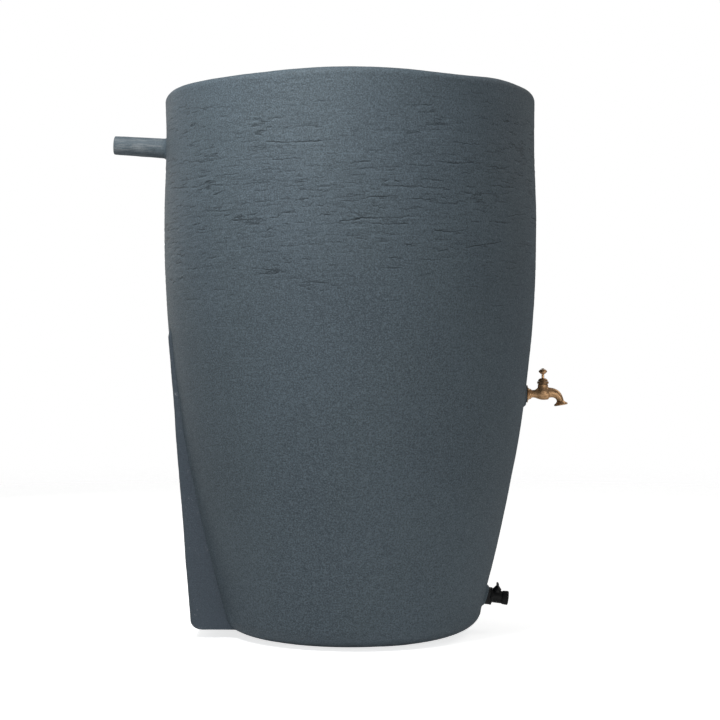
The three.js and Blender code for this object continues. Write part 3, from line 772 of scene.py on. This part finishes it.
def overflow_stub():
    flare = arc_points(STUB_ROOT + STUB_FLARE, STUB_FLARE, STUB_FLARE, -math.pi / 2, -math.pi, 10)
    length = np.linspace(STUB_FLARE + 3, STUB_LENGTH - 3, 30)
    barrel = [(STUB_ROOT + (STUB_END - STUB_ROOT) * x / STUB_LENGTH, x) for x in length]
    edge = arc_points(STUB_END - 2.5, STUB_LENGTH - 2.5, 2.5, 0, math.pi / 2, 6)
    root = [(0, -STUB_BURIED), (STUB_ROOT + STUB_FLARE, -STUB_BURIED)]
    end = [(8, STUB_LENGTH - 0.6), (0, STUB_LENGTH - 0.9)]
    profile = root + flare + barrel + edge + end

    def uneven(angle, radius, height):
        lobes = noise.noise((math.cos(angle) * 1.5, math.sin(angle) * 1.5, height * 0.05))
        streaks = noise.noise((math.cos(angle) * 7, math.sin(angle) * 7, height * 0.06))
        return radius + 0.3 * lobes + 0.35 * streaks

    return place_stub(turned("stub", profile, 144, shape=uneven))


def stub_bore():
    wall = WALL / MM
    end = STUB_LENGTH - wall
    profile = [(0, STUB_MOUTH), (STUB_ROOT - wall, STUB_MOUTH), (STUB_END - wall, end), (0, end)]
    return place_stub(turned("bore", profile, 48))


def fitting_hole(place, radius):
    return placed(along_x(turned("hole", rod(radius, -40, 12), 64)), place)


# ---------------------------------------- materials


class Nodes:
    """A short way to write a node tree."""

    def __init__(self, name):
        self.material = bpy.data.materials.new(name)
        self.material.use_nodes = True
        self.tree = self.material.node_tree
        self.bsdf = self.tree.nodes["Principled BSDF"]
        self.coordinates = self.tree.nodes.new("ShaderNodeTexCoord").outputs["Object"]

    def add(self, kind, inputs=None, **settings):
        node = self.tree.nodes.new(kind)
        for key, value in settings.items():
            setattr(node, key, value)
        for key, value in (inputs or {}).items():
            self.feed(node.inputs[key], value)
        return node

    def feed(self, socket, value):
        if hasattr(value, "is_linked"):
            self.tree.links.new(value, socket)
        else:
            socket.default_value = value

    def set(self, **values):
        for key, value in values.items():
            self.feed(self.bsdf.inputs[key.replace("_", " ")], value)

    def noise(self, scale, detail=2.0, roughness=0.5, stretch=None):
        vector = self.coordinates
        if stretch:
            vector = self.add("ShaderNodeMapping", {"Vector": vector, "Scale": stretch}).outputs[0]
        inputs = {"Vector": vector, "Scale": scale, "Detail": detail, "Roughness": roughness}
        return self.add("ShaderNodeTexNoise", inputs).outputs["Fac"]

    def pulse(self, value, centre, width):
        """1 at the centre, falling away to nothing on both sides."""
        away = self.math("DIVIDE", self.math("SUBTRACT", value, centre), width)
        return self.math("EXPONENT", self.times(away, away, -1.0))

    def attribute(self, name):
        return self.add("ShaderNodeAttribute", attribute_name=name).outputs["Fac"]

    def ramp(self, value, *stops):
        node = self.add("ShaderNodeValToRGB", {"Fac": value})
        elements = node.color_ramp.elements
        while len(elements) < len(stops):
            elements.new(0.5)
        for element, (position, colour) in zip(elements, stops):
            element.position = position
            grey = (colour,) * 3 if isinstance(colour, (int, float)) else colour
            element.color = (*grey[:3], 1)
        return node.outputs["Color"]

    def scale(self, value, low, high):
        inputs = {"Value": value, "To Min": low, "To Max": high}
        return self.add("ShaderNodeMapRange", inputs).outputs["Result"]

    def math(self, operation, a, b=0.5):
        return self.add("ShaderNodeMath", {0: a, 1: b}, operation=operation).outputs[0]

    def times(self, first, *others):
        for other in others:
            first = self.math("MULTIPLY", first, other)
        return first

    def mix(self, factor, a, b):
        node = self.add("ShaderNodeMix", data_type="RGBA")
        self.feed(node.inputs["Factor"], factor)
        self.feed(node.inputs[6], a)
        self.feed(node.inputs[7], b)
        return node.outputs[2]

    def bump(self, *layers):
        """Layers of (height, distance in metres, strength), each on top of the last."""
        normal = None
        for height, distance, strength in layers:
            node = self.add("ShaderNodeBump", {"Height": height, "Distance": distance, "Strength": strength})
            if normal is not None:
                self.feed(node.inputs["Normal"], normal)
            normal = node.outputs[0]
        self.set(Normal=normal)


def shade(rgb, factor):
    return tuple(min(1.0, c * factor) for c in rgb[:3]) + (1,)


def tint(rgb, red, green, blue):
    return (rgb[0] * red, rgb[1] * green, rgb[2] * blue)


SLOT_COLOUR = {m["slot"]: m["base_color"] for m in frame["record"]["materials"]}


def stub_tone(n, tone, slate):
    """The overflow stub is painted paler than the urn, a painted highlight, with streaks of painted highlight
    along its length.
    """
    outwards = n.add("ShaderNodeSeparateXYZ", {0: n.coordinates}).outputs["X"]
    clear_of_wall = -(WIDEST_RADIUS + 1.5 * MM)
    inputs = {"Value": outwards, "From Min": clear_of_wall, "From Max": clear_of_wall - 6 * MM}
    on_stub = n.add("ShaderNodeMapRange", inputs).outputs["Result"]
    # Painted highlight: the whole stub is painted paler, and pale lengthwise streaks are painted on it.
    tone = n.mix(on_stub, tone, n.mix(0.42, tone, (*tint(slate, 1.8, 1.66, 1.55), 1)))
    highlight_streaks = n.ramp(n.noise(150, 4, 0.65, stretch=(0.16, 1, 1)), (0.50, 0.0), (0.66, 1.0))
    return n.mix(n.times(highlight_streaks, on_stub, 0.5), tone, (0.27, 0.29, 0.30, 1))


def shell_material():
    n = Nodes("shell_plastic")
    slate = SLOT_COLOUR["shell_plastic"]
    slate = tint(slate, 0.985, 0.965, 0.935)
    height = n.add("ShaderNodeSeparateXYZ", {0: n.coordinates}).outputs["Z"]
    inputs = {"Value": height, "From Min": 0.44, "From Max": 0.66, "To Min": 0.92, "To Max": 0.82}
    stone = n.add("ShaderNodeMapRange", inputs).outputs["Result"]
    drift = n.noise(4.5, 4, 0.6)
    tone = n.ramp(drift, (0.3, shade(slate, 0.90)), (0.7, shade(slate, 1.10)))
    green = n.ramp(n.noise(7, 3, 0.5, stretch=(1, 1, 0.6)), (0.42, 0.0), (0.62, 1.0))
    tone = n.mix(n.times(green, 0.15), tone, (*tint(slate, 1.06, 1.03, 0.88), 1))
    grain = n.noise(420, 3, 0.6)
    pale = n.ramp(grain, (0.50, 0.0), (0.66, 1.0))
    dark = n.ramp(grain, (0.34, 1.0), (0.49, 0.0))
    fibre = n.noise(95, 4, 0.65, stretch=(1, 1, 5.5))
    fibre_dark = n.ramp(fibre, (0.34, 1.0), (0.46, 0.0))
    fibre_pale = n.ramp(fibre, (0.56, 0.0), (0.70, 1.0))
    speckles = [(pale, 0.72, 1.85), (dark, 0.72, 0.45), (fibre_dark, 0.5, 0.55), (fibre_pale, 0.4, 1.6)]
    for mask, share, factor in speckles:
        tone = n.mix(n.times(mask, share, stone), tone, shade(slate, factor))
    offset = n.attribute("split_offset")
    strength = n.attribute("split_strength")
    split = n.math("MAXIMUM", strength, 0.0)
    scratch = n.math("MAXIMUM", n.times(strength, -1.0), 0.0)
    # Painted light along each split: a pale lip just below it is a painted highlight, where the surface under the
    # step faces up into the light, and the line itself is painted shade in the step.
    lip = n.times(n.pulse(offset, -2.0, 0.9), split)
    tone = n.mix(n.times(lip, 0.5), tone, shade(slate, 1.7))
    line = n.times(n.pulse(offset, 0.0, 0.85), split)
    tone = n.mix(n.times(line, 0.95), tone, shade(slate, 0.16))
    rub_line = n.times(n.pulse(offset, 0.0, 0.7), scratch)
    tone = n.mix(n.times(rub_line, 0.9), tone, shade(slate, 2.2))
    # Painted shade: the crease where the back panel meets the urn is darkened.
    crease_shade = n.attribute("crease_shade")
    tone = n.mix(n.times(crease_shade, 0.45), tone, shade(slate, 0.35))
    # Painted shade: the back panel is painted darker and cooler than the urn, for the shade on that side.
    panel = n.attribute("panel")
    tone = n.mix(n.times(panel, 0.7), tone, (*tint(slate, 0.84, 0.80, 0.86), 1))
    rub = n.ramp(n.noise(130, 5, 0.75, stretch=(1, 1, 0.6)), (0.60, 0.0), (0.68, 1.0))
    rub_zone = n.ramp(n.noise(14, 2, 0.5), (0.48, 0.0), (0.62, 1.0))
    rubbed = n.times(rub, rub_zone, panel, 0.55)
    tone = n.mix(rubbed, tone, (0.36, 0.38, 0.42, 1))
    tone = stub_tone(n, tone, slate)
    stipple = n.noise(430, 3, 0.65)
    ripple = n.noise(110, 3, 0.6, stretch=(0.5, 0.5, 2.6))
    n.set(
        Base_Color=tone,
        Roughness=n.scale(n.noise(260, 2), 0.58, 0.8),
        Specular_IOR_Level=0.3,
    )
    n.bump((ripple, 1.0 * MM, 0.45), (stipple, 1.3 * MM, 0.7))
    return n.material


def brass_material(name, slot, rough, cast_grain, bright=1.0):
    n = Nodes(name)
    metal = tuple(a * b * bright for a, b in zip(SLOT_COLOUR[slot], (1.30, 1.18, 1.42)))
    drift = n.noise(120, 4, 0.6)
    tone = n.ramp(drift, (0.3, shade(metal, 0.72)), (0.7, shade(metal, 1.25)))
    tarnish = n.ramp(n.noise(260, 4, 0.65), (0.52, 0.0), (0.68, 1.0))
    tone = n.mix(n.times(tarnish, 0.6), tone, (0.20, 0.115, 0.055, 1))
    n.set(
        Base_Color=tone,
        Metallic=0.75,
        Roughness=n.scale(n.noise(300, 3), rough - 0.08, rough + 0.14),
    )
    n.bump((n.noise(700, 3, 0.6), 0.35 * MM, cast_grain), (n.noise(2600, 2), 0.05 * MM, 0.3))
    return n.material


def plastic_material(name, slot, rough, grain):
    n = Nodes(name)
    base = SLOT_COLOUR[slot]
    tone = n.ramp(n.noise(90, 3), (0.3, shade(base, 0.35)), (0.7, shade(base, 0.7)))
    dust = n.ramp(n.noise(600, 3, 0.7), (0.58, 0.0), (0.74, 1.0))
    tone = n.mix(n.times(dust, 0.05), tone, (0.30, 0.31, 0.30, 1))
    n.set(
        Base_Color=tone,
        Roughness=n.scale(n.noise(500, 2), rough - 0.06, rough + 0.12),
        Specular_IOR_Level=0.28,
    )
    n.bump((n.noise(1500, 2), 0.12 * MM, grain))
    return n.material


def plain_material(name, grain, shades, gloss_grain, gloss, bump_grain, bump, metallic=0.0):
    """One colour with a little variation. Each grain is a noise size, and bump is a height and a strength."""
    n = Nodes(name)
    base = SLOT_COLOUR[name]
    tone = n.ramp(n.noise(grain, 3), (0.3, shade(base, shades[0])), (0.7, shade(base, shades[1])))
    n.set(Base_Color=tone, Metallic=metallic, Roughness=n.scale(n.noise(gloss_grain), *gloss))
    n.bump((n.noise(bump_grain, 2), bump[0] * MM, bump[1]))
    return n.material


MATERIALS = {
    "shell_plastic": shell_material(),
    "brass": brass_material("brass", "brass", 0.38, 0.5, 1.15),
    "turned_brass": brass_material("turned_brass", "turned_brass", 0.26, 0.15, 1.0),
    "aged_brass": brass_material("aged_brass", "turned_brass", 0.42, 0.4, 0.56),
    "black_plastic": plastic_material("black_plastic", "black_plastic", 0.42, 0.35),
    "screen_plastic": plastic_material("screen_plastic", "screen_plastic", 0.5, 0.35),
    "rubber": plain_material("rubber", 150, (0.8, 1.6), 800, (0.75, 0.95), 2200, (0.08, 0.4)),
    "white_seal": plain_material("white_seal", 200, (0.9, 1.05), 500, (0.35, 0.5), 900, (0.05, 0.3)),
    "screen_weave": plain_material("screen_weave", 300, (0.7, 1.2), 700, (0.3, 0.5), 2500, (0.03, 0.3), 0.9),
}


def finish_piece(piece, name, body, slot, node, finish):
    """Names a new piece, gives it its finish and puts it on its body in place of its CAD node."""
    piece.name = name
    piece.data.materials.clear()
    piece.data.materials.append(MATERIALS[finish or slot])
    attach(piece, body)
    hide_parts(node)


# ---------------------------------------- brass tap, in the pad's frame, in millimetres

SX = SPINDLE_X / MM
NECK_TOP = 17.8
SHOULDER_X = 7.8
OUTLET = (65.0, -18.0)
ABOVE_OUTLET = (OUTLET[0] - 3, OUTLET[1] + 14)
OUTLET_TILT = math.radians(10)
at_spindle = Matrix.Translation((SPINDLE_X, 0, 0))
at_outlet = Matrix.Translation((OUTLET[0] * MM, 0, OUTLET[1] * MM)) @ Matrix.Rotation(-OUTLET_TILT, 4, "Y")


def upright(profile, place, segments=72):
    return placed(turned("upright", profile, segments), place)


def lengthwise(profile, segments=72):
    return along_x(turned("lengthwise", profile, segments))


def square_socket(corner, start, end):
    return placed(turned("socket", rod(corner, start, end), 4), Matrix.Rotation(math.pi / 4, 4, "Z"))


def prism(name, outline, half_depth):
    """A flat-sided block: an outline in X and Z, this far to each side of Y = 0."""
    count = len(outline)
    vertices = [(x * MM, y * MM, z * MM) for y in (-half_depth, half_depth) for x, z in outline]
    faces = [tuple(range(count)), tuple(reversed(range(count, 2 * count)))]
    faces += [(i, i + count, (i + 1) % count + count, (i + 1) % count) for i in range(count)]
    block = mesh_object(name, vertices, faces)
    fix_normals(block)
    return block


def tap_body():
    near = [(0, SHOULDER_X + 2), (7.4, SHOULDER_X + 2), (7.4, 15), (7.9, 19), (9.2, SX - 9)]
    far = [(10.6, SX - 4), (11.1, SX), (10.9, SX + 5), (10.2, SX + 10), (0, SX + 14)]
    run = lengthwise(near + far)
    neck_shape = [(0, -8), (8, -8), (12.2, 5), (10.2, 10), (9.5, 13), (9.5, NECK_TOP), (0, NECK_TOP)]
    neck = upright(neck_shape, at_spindle)
    above = [(SX - 16, 6), (SX - 9, 11.5), (SX + 10, 12.5), (SX + 18, 9.5)]
    fillets = prism("fillets", above + [(SX + 10, 0), (SX - 10, 0)], 5.5)
    spout_line = bezier((30, 0), (54, 7), (63.5, -1.5), OUTLET)
    spout = sweep("spout", spout_line, lambda t: 10.6 - 4.2 * min(1, t / 0.8), 40)
    body = join(run, neck, fillets, spout)
    cast(body, 0.45, 30)
    shoulder = [(9.4, SHOULDER_X), (9.2, SHOULDER_X + 1.6), (7.3, SHOULDER_X + 3.6), (0, SHOULDER_X + 5)]
    tail = lengthwise([(0, -20), (8.3, -20), (8.3, SHOULDER_X)] + shoulder)
    seat = upright(rod(9.2, NECK_TOP - 3, NECK_TOP), at_spindle)
    rim = [(0, -2.6), (12.2, -2.6), (12.4, -2.3), (12.4, -0.1), (12.0, 0.4)]
    lip = upright(rim + [(8.6, 2.4), (6.4, 5.4), (0, 6)], at_outlet)
    join(body, tail, seat, lip)
    cutters = [
        lengthwise(rod(5.5, -21, 12)),
        placed(lengthwise(rod(3.7, -5, SX + 3)), Matrix.Translation((0, 0, -4.8 * MM))),
        upright(rod(3.5, -5, 2), at_spindle),
        upright(rod(6.9, 1, 10), at_spindle),
        upright(rod(7.4, 9, NECK_TOP + 1), at_spindle),
        sweep("c", bezier((33.3, 4.8), (52, 6.8), ABOVE_OUTLET, OUTLET), lambda t: 3.5, 24),
        upright([(0, -3.6), (10.2, -3.6), (9.2, -0.6), (3.5, 3), (0, 3)], at_outlet),
    ]
    cut(body, *cutters)
    return smooth_by_angle(placed(body, tap_place), 40)


def tap_wall_flange():
    front = SHOULDER_X - 0.3
    back = [(16 - 6.2 * t**0.55, 3.2 + (front - 3.2) * t**1.6) for t in np.linspace(0, 1, 14)]
    profile = [(8.6, 2), (15.6, 2), (16, 2.4)] + back + [(9.4, front), (8.6, front)]
    flange = along_x(turned("flange", profile, 96, closed=True))
    return smooth_by_angle(placed(flange, tap_place), 40)


def tap_bonnet():
    low, high = NECK_TOP + 1.1, 23.0
    heights = [low, low + 0.35, low + 0.8, high - 0.8, high - 0.35, high]
    rows = [(20, h) for h in heights]
    nut = turned("bonnet", [(0, low)] + rows + [(0, high)], 96, shape=hexagon(20, 1, low, high))
    join(nut, turned("skirt", rod(7.1, 10.1, low + 0.5), 64), turned("boss", rod(5.6, 22, 26), 64))
    bores = [(rod(5.3, 8, 18.25), 64), (rod(2.8, 18, 27), 48), (rod(4.4, 21, 27), 48)]
    cut(nut, *(turned("bore", bore, segments) for bore, segments in bores))
    placed(nut, tap_place @ at_spindle)
    return smooth_by_angle(nut, 30)


def tap_gland_nut():
    dome = [(0, 23.3), (9.0, 23.3), (9.2, 23.6), (9.1, 24.8), (8.5, 26.1), (7.4, 27.3)]
    dome += [(6.0, 28.3), (4.8, 28.8), (3.8, 29), (0, 29)]
    nut = turned("gland", dome, 96, shape=hexagon(17.2))
    cut(nut, turned("bore", rod(5.9, 22, 26.3), 64), turned("bore", rod(2.8, 22, 30), 48))
    return smooth_by_angle(placed(nut, tap_place @ at_spindle), 30)


def tap_handle():
    hub = turned("hub", [(0, 36.8), (3.6, 36.8), (7.6, 40.4), (7.8, 41.6), (7.4, 43), (4.6, 45.4), (0, 45.6)])
    handle = hub
    arm_height = 41.6 * MM
    lobe_reach = 17 * MM
    for side in (-1, 1):
        arm = turned("arm", [(0, 0), (3.9, 0), (3.1, 9), (3.6, 15), (0, 16)], 48)
        placed(arm, Matrix.Rotation(-side * math.pi / 2, 4, "X"))
        placed(arm, Matrix.Translation((0, 0, arm_height)))
        lobe = turned("lobe", [(5 * math.sin(a), -5 * math.cos(a)) for a in np.linspace(0, math.pi, 20)], 48)
        lobe.data.vertices[0].co.x = 0
        placed(lobe, Matrix.Diagonal((0.9, 1.25, 0.9, 1)))
        placed(lobe, Matrix.Translation((0, side * lobe_reach, arm_height)))
        join(handle, arm, lobe)
    cast(handle, 0.34, 4)
    cut(handle, square_socket(3.3, 36, 43.3), turned("bore", rod(1.7, 40, 47), 32))
    return smooth_by_angle(placed(handle, tap_place @ at_spindle), 40)


def tap_handle_screw():
    head = [(3, 45.9), (3.1, 46.3), (2.7, 46.9), (1.6, 47.35), (0, 47.5)]
    screw = turned("screw", [(0, 39), (1.1, 39), (1.1, 45.9)] + head, 48)
    corners = ((-4, -0.4), (4, -0.4), (4, 0.4), (-4, 0.4))
    slot = mesh_object(
        "slot",
        [(x * MM, y * MM, z * MM) for z in (46.8, 48) for x, y in corners],
        [(3, 2, 1, 0), (4, 5, 6, 7), (0, 1, 5, 4), (1, 2, 6, 5), (2, 3, 7, 6), (3, 0, 4, 7)],
        smooth=False,
    )
    cut(screw, slot)
    return smooth_by_angle(placed(screw, tap_place @ at_spindle), 30)


# ---------------------------------------- drain valve, in its pad's frame, in millimetres

at_ball = Matrix.Translation((BALL_X, 0, 0))


def drain_body():
    low, high = 5.5, 9.7
    heights = [low, low + 0.4, low + 0.9, high - 0.9, high - 0.4, high]
    blank = [(0, low)] + [(29, h) for h in heights] + [(0, high)]
    nut = along_x(turned("nut", blank, 96, shape=hexagon(30.5, 1, low, high)))
    tail = [(0, -20), (10, -20), (10, 6.5), (12.4, 6.5), (12.4, 10.2), (11.4, 11.4)]
    run = along_x(turned("run", tail + [(11.4, 27.4), (11.0, 27.8), (10.4, 27.8), (10.4, 33), (0, 33)]))
    boss = placed(turned("boss", [(0, 0), (8.0, 0), (7.6, 12.6), (7.2, 13), (0, 13)], 64), at_ball)
    body = join(nut, run, boss)
    cut(
        body,
        lengthwise(rod(5, -21, 12), 64),
        lengthwise(rod(9, 8.6, 34), 64),
        upright(rod(2.9, 5, 14), at_ball, 48),
        upright(rod(4.6, 10.4, 14), at_ball, 48),
    )
    return smooth_by_angle(placed(body, drain_place), 28)


def drain_outlet_collar():
    rib_count = 24

    def ribbed(angle, radius, height):
        if radius > 12 and 30 < height < 37:
            return radius + 0.35 * max(0.0, math.cos(rib_count * angle)) ** 2
        return radius

    outer = [(11.3, 28.2), (11.7, 28.6), (12.1, 30.2), (12.4, 33.5), (12.6, 36.8), (12.9, 37.4), (12.9, 38.7)]
    profile = [(10.7, 28.2)] + outer + [(12.2, 40), (8.9, 40), (8.6, 39.6), (8.6, 33.6), (10.7, 33.6)]
    collar = along_x(turned("collar", profile, 192, closed=True, shape=ribbed))
    return smooth_by_angle(placed(collar, drain_place), 30)


def drain_handle():
    cone = [(8.2, 13.7), (8.1, 14.3), (6.4, 16.4), (2.6, 21), (0, 21.4)]
    hub = turned("hub", [(0, 13.4), (8.0, 13.4)] + cone, 64)
    outline = curve_points(bezier((-15, 20.6), (-15.4, 24.2), (-12.4, 26), (-8, 26)), 8)
    outline += [(-x, z) for x, z in reversed(outline)]
    outline += curve_points(bezier((13.5, 20), (9.5, 19), (6.5, 18), (5, 14)), 6)
    outline += [(-x, z) for x, z in reversed(outline[-6:])]
    thick = 1.1
    count = len(outline)
    vertices = [(side * thick * MM, y * MM, z * MM) for side in (-1, 1) for y, z in outline]
    faces = [tuple(range(count)), tuple(reversed(range(count, 2 * count)))]
    faces += [(i, i + count, (i + 1) % count + count, (i + 1) % count) for i in range(count)]
    wing = mesh_object("wing", vertices, faces)
    fix_normals(wing)
    handle = join(hub, wing)
    cast(handle, 0.3, 2)
    cut(handle, square_socket(3.05, 12, 17.3))
    return smooth_by_angle(placed(handle, drain_place @ at_ball), 40)


# ---------------------------------------- inlet screen, in the frame's axes

WIRE_PITCH = 4.0 * MM
WIRE_RADIUS = 0.23 * MM
WIRE_WAVE = 0.25 * MM  # each wire passes this far over and under its neighbours
WIRE_SIDES = 6
STEPS_PER_CROSSING = 4


def screen_weave():
    """Two sets of wires that cross over and under each other, ending in the frame's groove."""
    low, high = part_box("screen_mesh")
    level = (low.z + high.z) / 2
    edge = high.x - WIRE_RADIUS
    reach = int(edge / WIRE_PITCH)
    vertices = []
    faces = []
    for along_y in (False, True):
        for i in range(-reach, reach + 1):
            across = i * WIRE_PITCH
            half = math.sqrt(edge**2 - across**2)
            steps = max(4, int(2 * half / WIRE_PITCH * STEPS_PER_CROSSING))
            first = len(vertices)
            for step in range(steps + 1):
                t = -half + 2 * half * step / steps
                phase = math.pi * (t / WIRE_PITCH + i + along_y)
                middle = level + WIRE_WAVE * math.cos(phase)
                for side in range(WIRE_SIDES):
                    a = 2 * math.pi * side / WIRE_SIDES
                    off = across + WIRE_RADIUS * math.cos(a)
                    rise = middle + WIRE_RADIUS * math.sin(a)
                    vertices.append((off, t, rise) if along_y else (t, off, rise))
            for step in range(steps):
                a = first + step * WIRE_SIDES
                b = a + WIRE_SIDES
                for side in range(WIRE_SIDES):
                    k = (side + 1) % WIRE_SIDES
                    faces.append((a + side, b + side, b + k, a + k))
            faces.append(tuple(range(first, first + WIRE_SIDES)))
            last = first + steps * WIRE_SIDES
            faces.append(tuple(reversed(range(last, last + WIRE_SIDES))))
    weave = mesh_object("weave", vertices, faces)
    fix_normals(weave)
    return weave


def screen_ring():
    """The flanged ring, with a rounded rim and the groove that holds the weave."""
    low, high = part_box("screen_frame")
    mesh_low, mesh_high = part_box("screen_mesh")
    bottom, top = low.z / MM, high.z / MM
    rim = high.x / MM
    tube_inner = INLET_RADIUS / MM - 6
    tube_outer = INLET_RADIUS / MM - 2
    flange = top - 3
    groove = mesh_high.x / MM + 0.5
    groove_low, groove_high = mesh_low.z / MM - 0.3, mesh_high.z / MM + 0.3
    outer_edge = arc_points(rim - 1.2, top - 1.2, 1.2, 0, math.pi / 2, 6)
    inner_edge = arc_points(tube_inner + 0.8, top - 0.8, 0.8, math.pi / 2, math.pi, 5)
    profile = [(tube_inner, bottom), (tube_outer, bottom), (tube_outer, flange), (rim, flange)]
    profile += outer_edge + inner_edge + [(tube_inner, groove_high), (groove, groove_high)]
    profile += [(groove, groove_low), (tube_inner, groove_low)]
    ring = turned("ring", profile, 160, closed=True)
    return smooth_by_angle(ring, 30)


# ---------------------------------------- build the pieces

# How each piece is made, its name, body and slot, the CAD node it stands for, and any finish of its own.
PIECES = [
    (barrel_shell, "shell_moulding", "barrel", "shell_plastic", "barrel_shell", None),
    (tap_body, "tap_casting", "barrel", "brass", "tap_body", None),
    (tap_wall_flange, "tap_rose", "barrel", "turned_brass", "tap_wall_flange", None),
    (tap_bonnet, "tap_headwork", "barrel", "turned_brass", "tap_bonnet", "aged_brass"),
    (tap_gland_nut, "tap_gland", "barrel", "brass", "tap_gland_nut", "aged_brass"),
    (tap_handle, "tap_tee_handle", "tap_turner", "brass", "tap_handle", None),
    (tap_handle_screw, "tap_top_screw", "tap_turner", "turned_brass", "tap_handle_screw", None),
    (drain_body, "drain_valve_body", "barrel", "black_plastic", "drain_body", None),
    (drain_outlet_collar, "drain_collar", "barrel", "black_plastic", "drain_outlet_collar", None),
    (drain_handle, "drain_wing_handle", "drain_turner", "black_plastic", "drain_handle", None),
    (screen_ring, "screen_ring", "inlet_screen", "screen_plastic", "screen_frame", None),
    (screen_weave, "screen_wires", "inlet_screen", "screen_weave", "screen_mesh", None),
]
for make, name, body, slot, node, finish in PIECES:
    finish_piece(make(), name, body, slot, node, finish)

slot_of_node = {entry["node"]: entry["material_slot"] for entry in frame["record"]["subparts"]}
for name, node in frame["nodes"].items():
    node.data.materials.clear()
    node.data.materials.append(MATERIALS[slot_of_node[name]])
    if not node.hide_render:
        softened(node, 0.25)

# ---------------------------------------- studio

FLOOR_RADIUS = 5.0
FLOOR_FADE = (1.2, FLOOR_RADIUS * 0.95)  # between these distances it fades away
SURROUND = 0.153


def floor():
    """A pale round floor that fades into the white surroundings and glows a little."""
    ground = turned("floor", [(0, 0), (FLOOR_RADIUS / MM, 0)], 96)
    n = Nodes("floor")
    n.set(Roughness=0.9, Specular_IOR_Level=0.0)
    path = n.add("ShaderNodeLightPath")
    n.set(Base_Color=n.mix(path.outputs["Is Camera Ray"], (0.8, 0.8, 0.8, 1), (0.97, 0.97, 0.97, 1)))
    distance = n.add("ShaderNodeVectorMath", {0: n.coordinates}, operation="LENGTH").outputs["Value"]
    inputs = {"Value": distance, "From Min": FLOOR_FADE[0], "From Max": FLOOR_FADE[1]}
    fade = n.add("ShaderNodeMapRange", inputs, interpolation_type="SMOOTHSTEP").outputs["Result"]
    clear = n.add("ShaderNodeBsdfTransparent")
    glow = n.scale(path.outputs["Is Camera Ray"], 0.15, 0.74)
    n.set(Emission_Color=(1, 1, 1, 1), Emission_Strength=glow)
    both = n.add("ShaderNodeMixShader", {0: fade})
    n.feed(both.inputs[1], n.bsdf.outputs[0])
    n.feed(both.inputs[2], clear.outputs[0])
    n.feed(n.tree.nodes["Material Output"].inputs["Surface"], both.outputs[0])
    ground.data.materials.append(n.material)


def soft_light(name, azimuth, elevation, distance, size, power, aim, colour=(1, 1, 1)):
    lamp = bpy.data.lights.new(name, "AREA")
    lamp.shape = "RECTANGLE"
    lamp.size, lamp.size_y = size
    lamp.energy = power
    lamp.color = colour
    light = bpy.data.objects.new(name, lamp)
    a = math.radians(azimuth)
    e = math.radians(elevation)
    away = Vector((math.sin(a) * math.cos(e), -math.cos(a) * math.cos(e), math.sin(e)))
    light.location = Vector(aim) + away * distance
    light.rotation_mode = "QUATERNION"
    light.rotation_quaternion = away.to_track_quat("Z", "Y")
    bpy.context.scene.collection.objects.link(light)


def studio():
    floor()
    world = bpy.data.worlds.new("studio")
    world.use_nodes = True
    tree = world.node_tree
    soft = tree.nodes["Background"]
    soft.inputs["Color"].default_value = (1.0, 1.0, 1.0, 1)
    soft.inputs["Strength"].default_value = SURROUND
    white = tree.nodes.new("ShaderNodeBackground")
    white.inputs["Color"].default_value = (1, 1, 1, 1)
    path = tree.nodes.new("ShaderNodeLightPath")
    mix = tree.nodes.new("ShaderNodeMixShader")
    tree.links.new(path.outputs["Is Camera Ray"], mix.inputs[0])
    tree.links.new(soft.outputs[0], mix.inputs[1])
    tree.links.new(white.outputs[0], mix.inputs[2])
    tree.links.new(mix.outputs[0], tree.nodes["World Output"].inputs[0])
    bpy.context.scene.world = world
    middle = (0, 0, HEIGHT * 0.5)
    shoulder = (0, 0, HEIGHT * 0.9)
    rim = (0, 0, HEIGHT * 0.97)
    soft_light("key", -30, 35, 1.4, (0.7, 0.7), 24.6, rim)
    soft_light("low fill", 35, -8, 2.7, (1.2, 1.2), 13.9, middle)
    soft_light("left edge", -135, 5, 2.8, (1.7, 1.7), 16.2, shoulder, (1.0, 0.98, 0.94))
    soft_light("right edge", 115, 30, 2.8, (1.7, 1.7), 17.1, shoulder, (1.0, 0.98, 0.94))


CAMERA_DISTANCE = 2.9
EYE_HEIGHT = 0.5
LENS = 78.35
LENS_SHIFT = (0.01354, -0.0009)


def camera():
    data = bpy.data.cameras.new("camera")
    data.sensor_width = 36
    data.lens = LENS
    data.shift_x, data.shift_y = LENS_SHIFT
    eye = bpy.data.objects.new("camera", data)
    eye.location = (0, -CAMERA_DISTANCE, EYE_HEIGHT)
    eye.rotation_euler = (math.pi / 2, 0, 0)
    data.clip_end = 100
    bpy.context.scene.collection.objects.link(eye)
    bpy.context.scene.camera = eye


studio()
camera()
bpy.context.scene.view_settings.view_transform = "Standard"
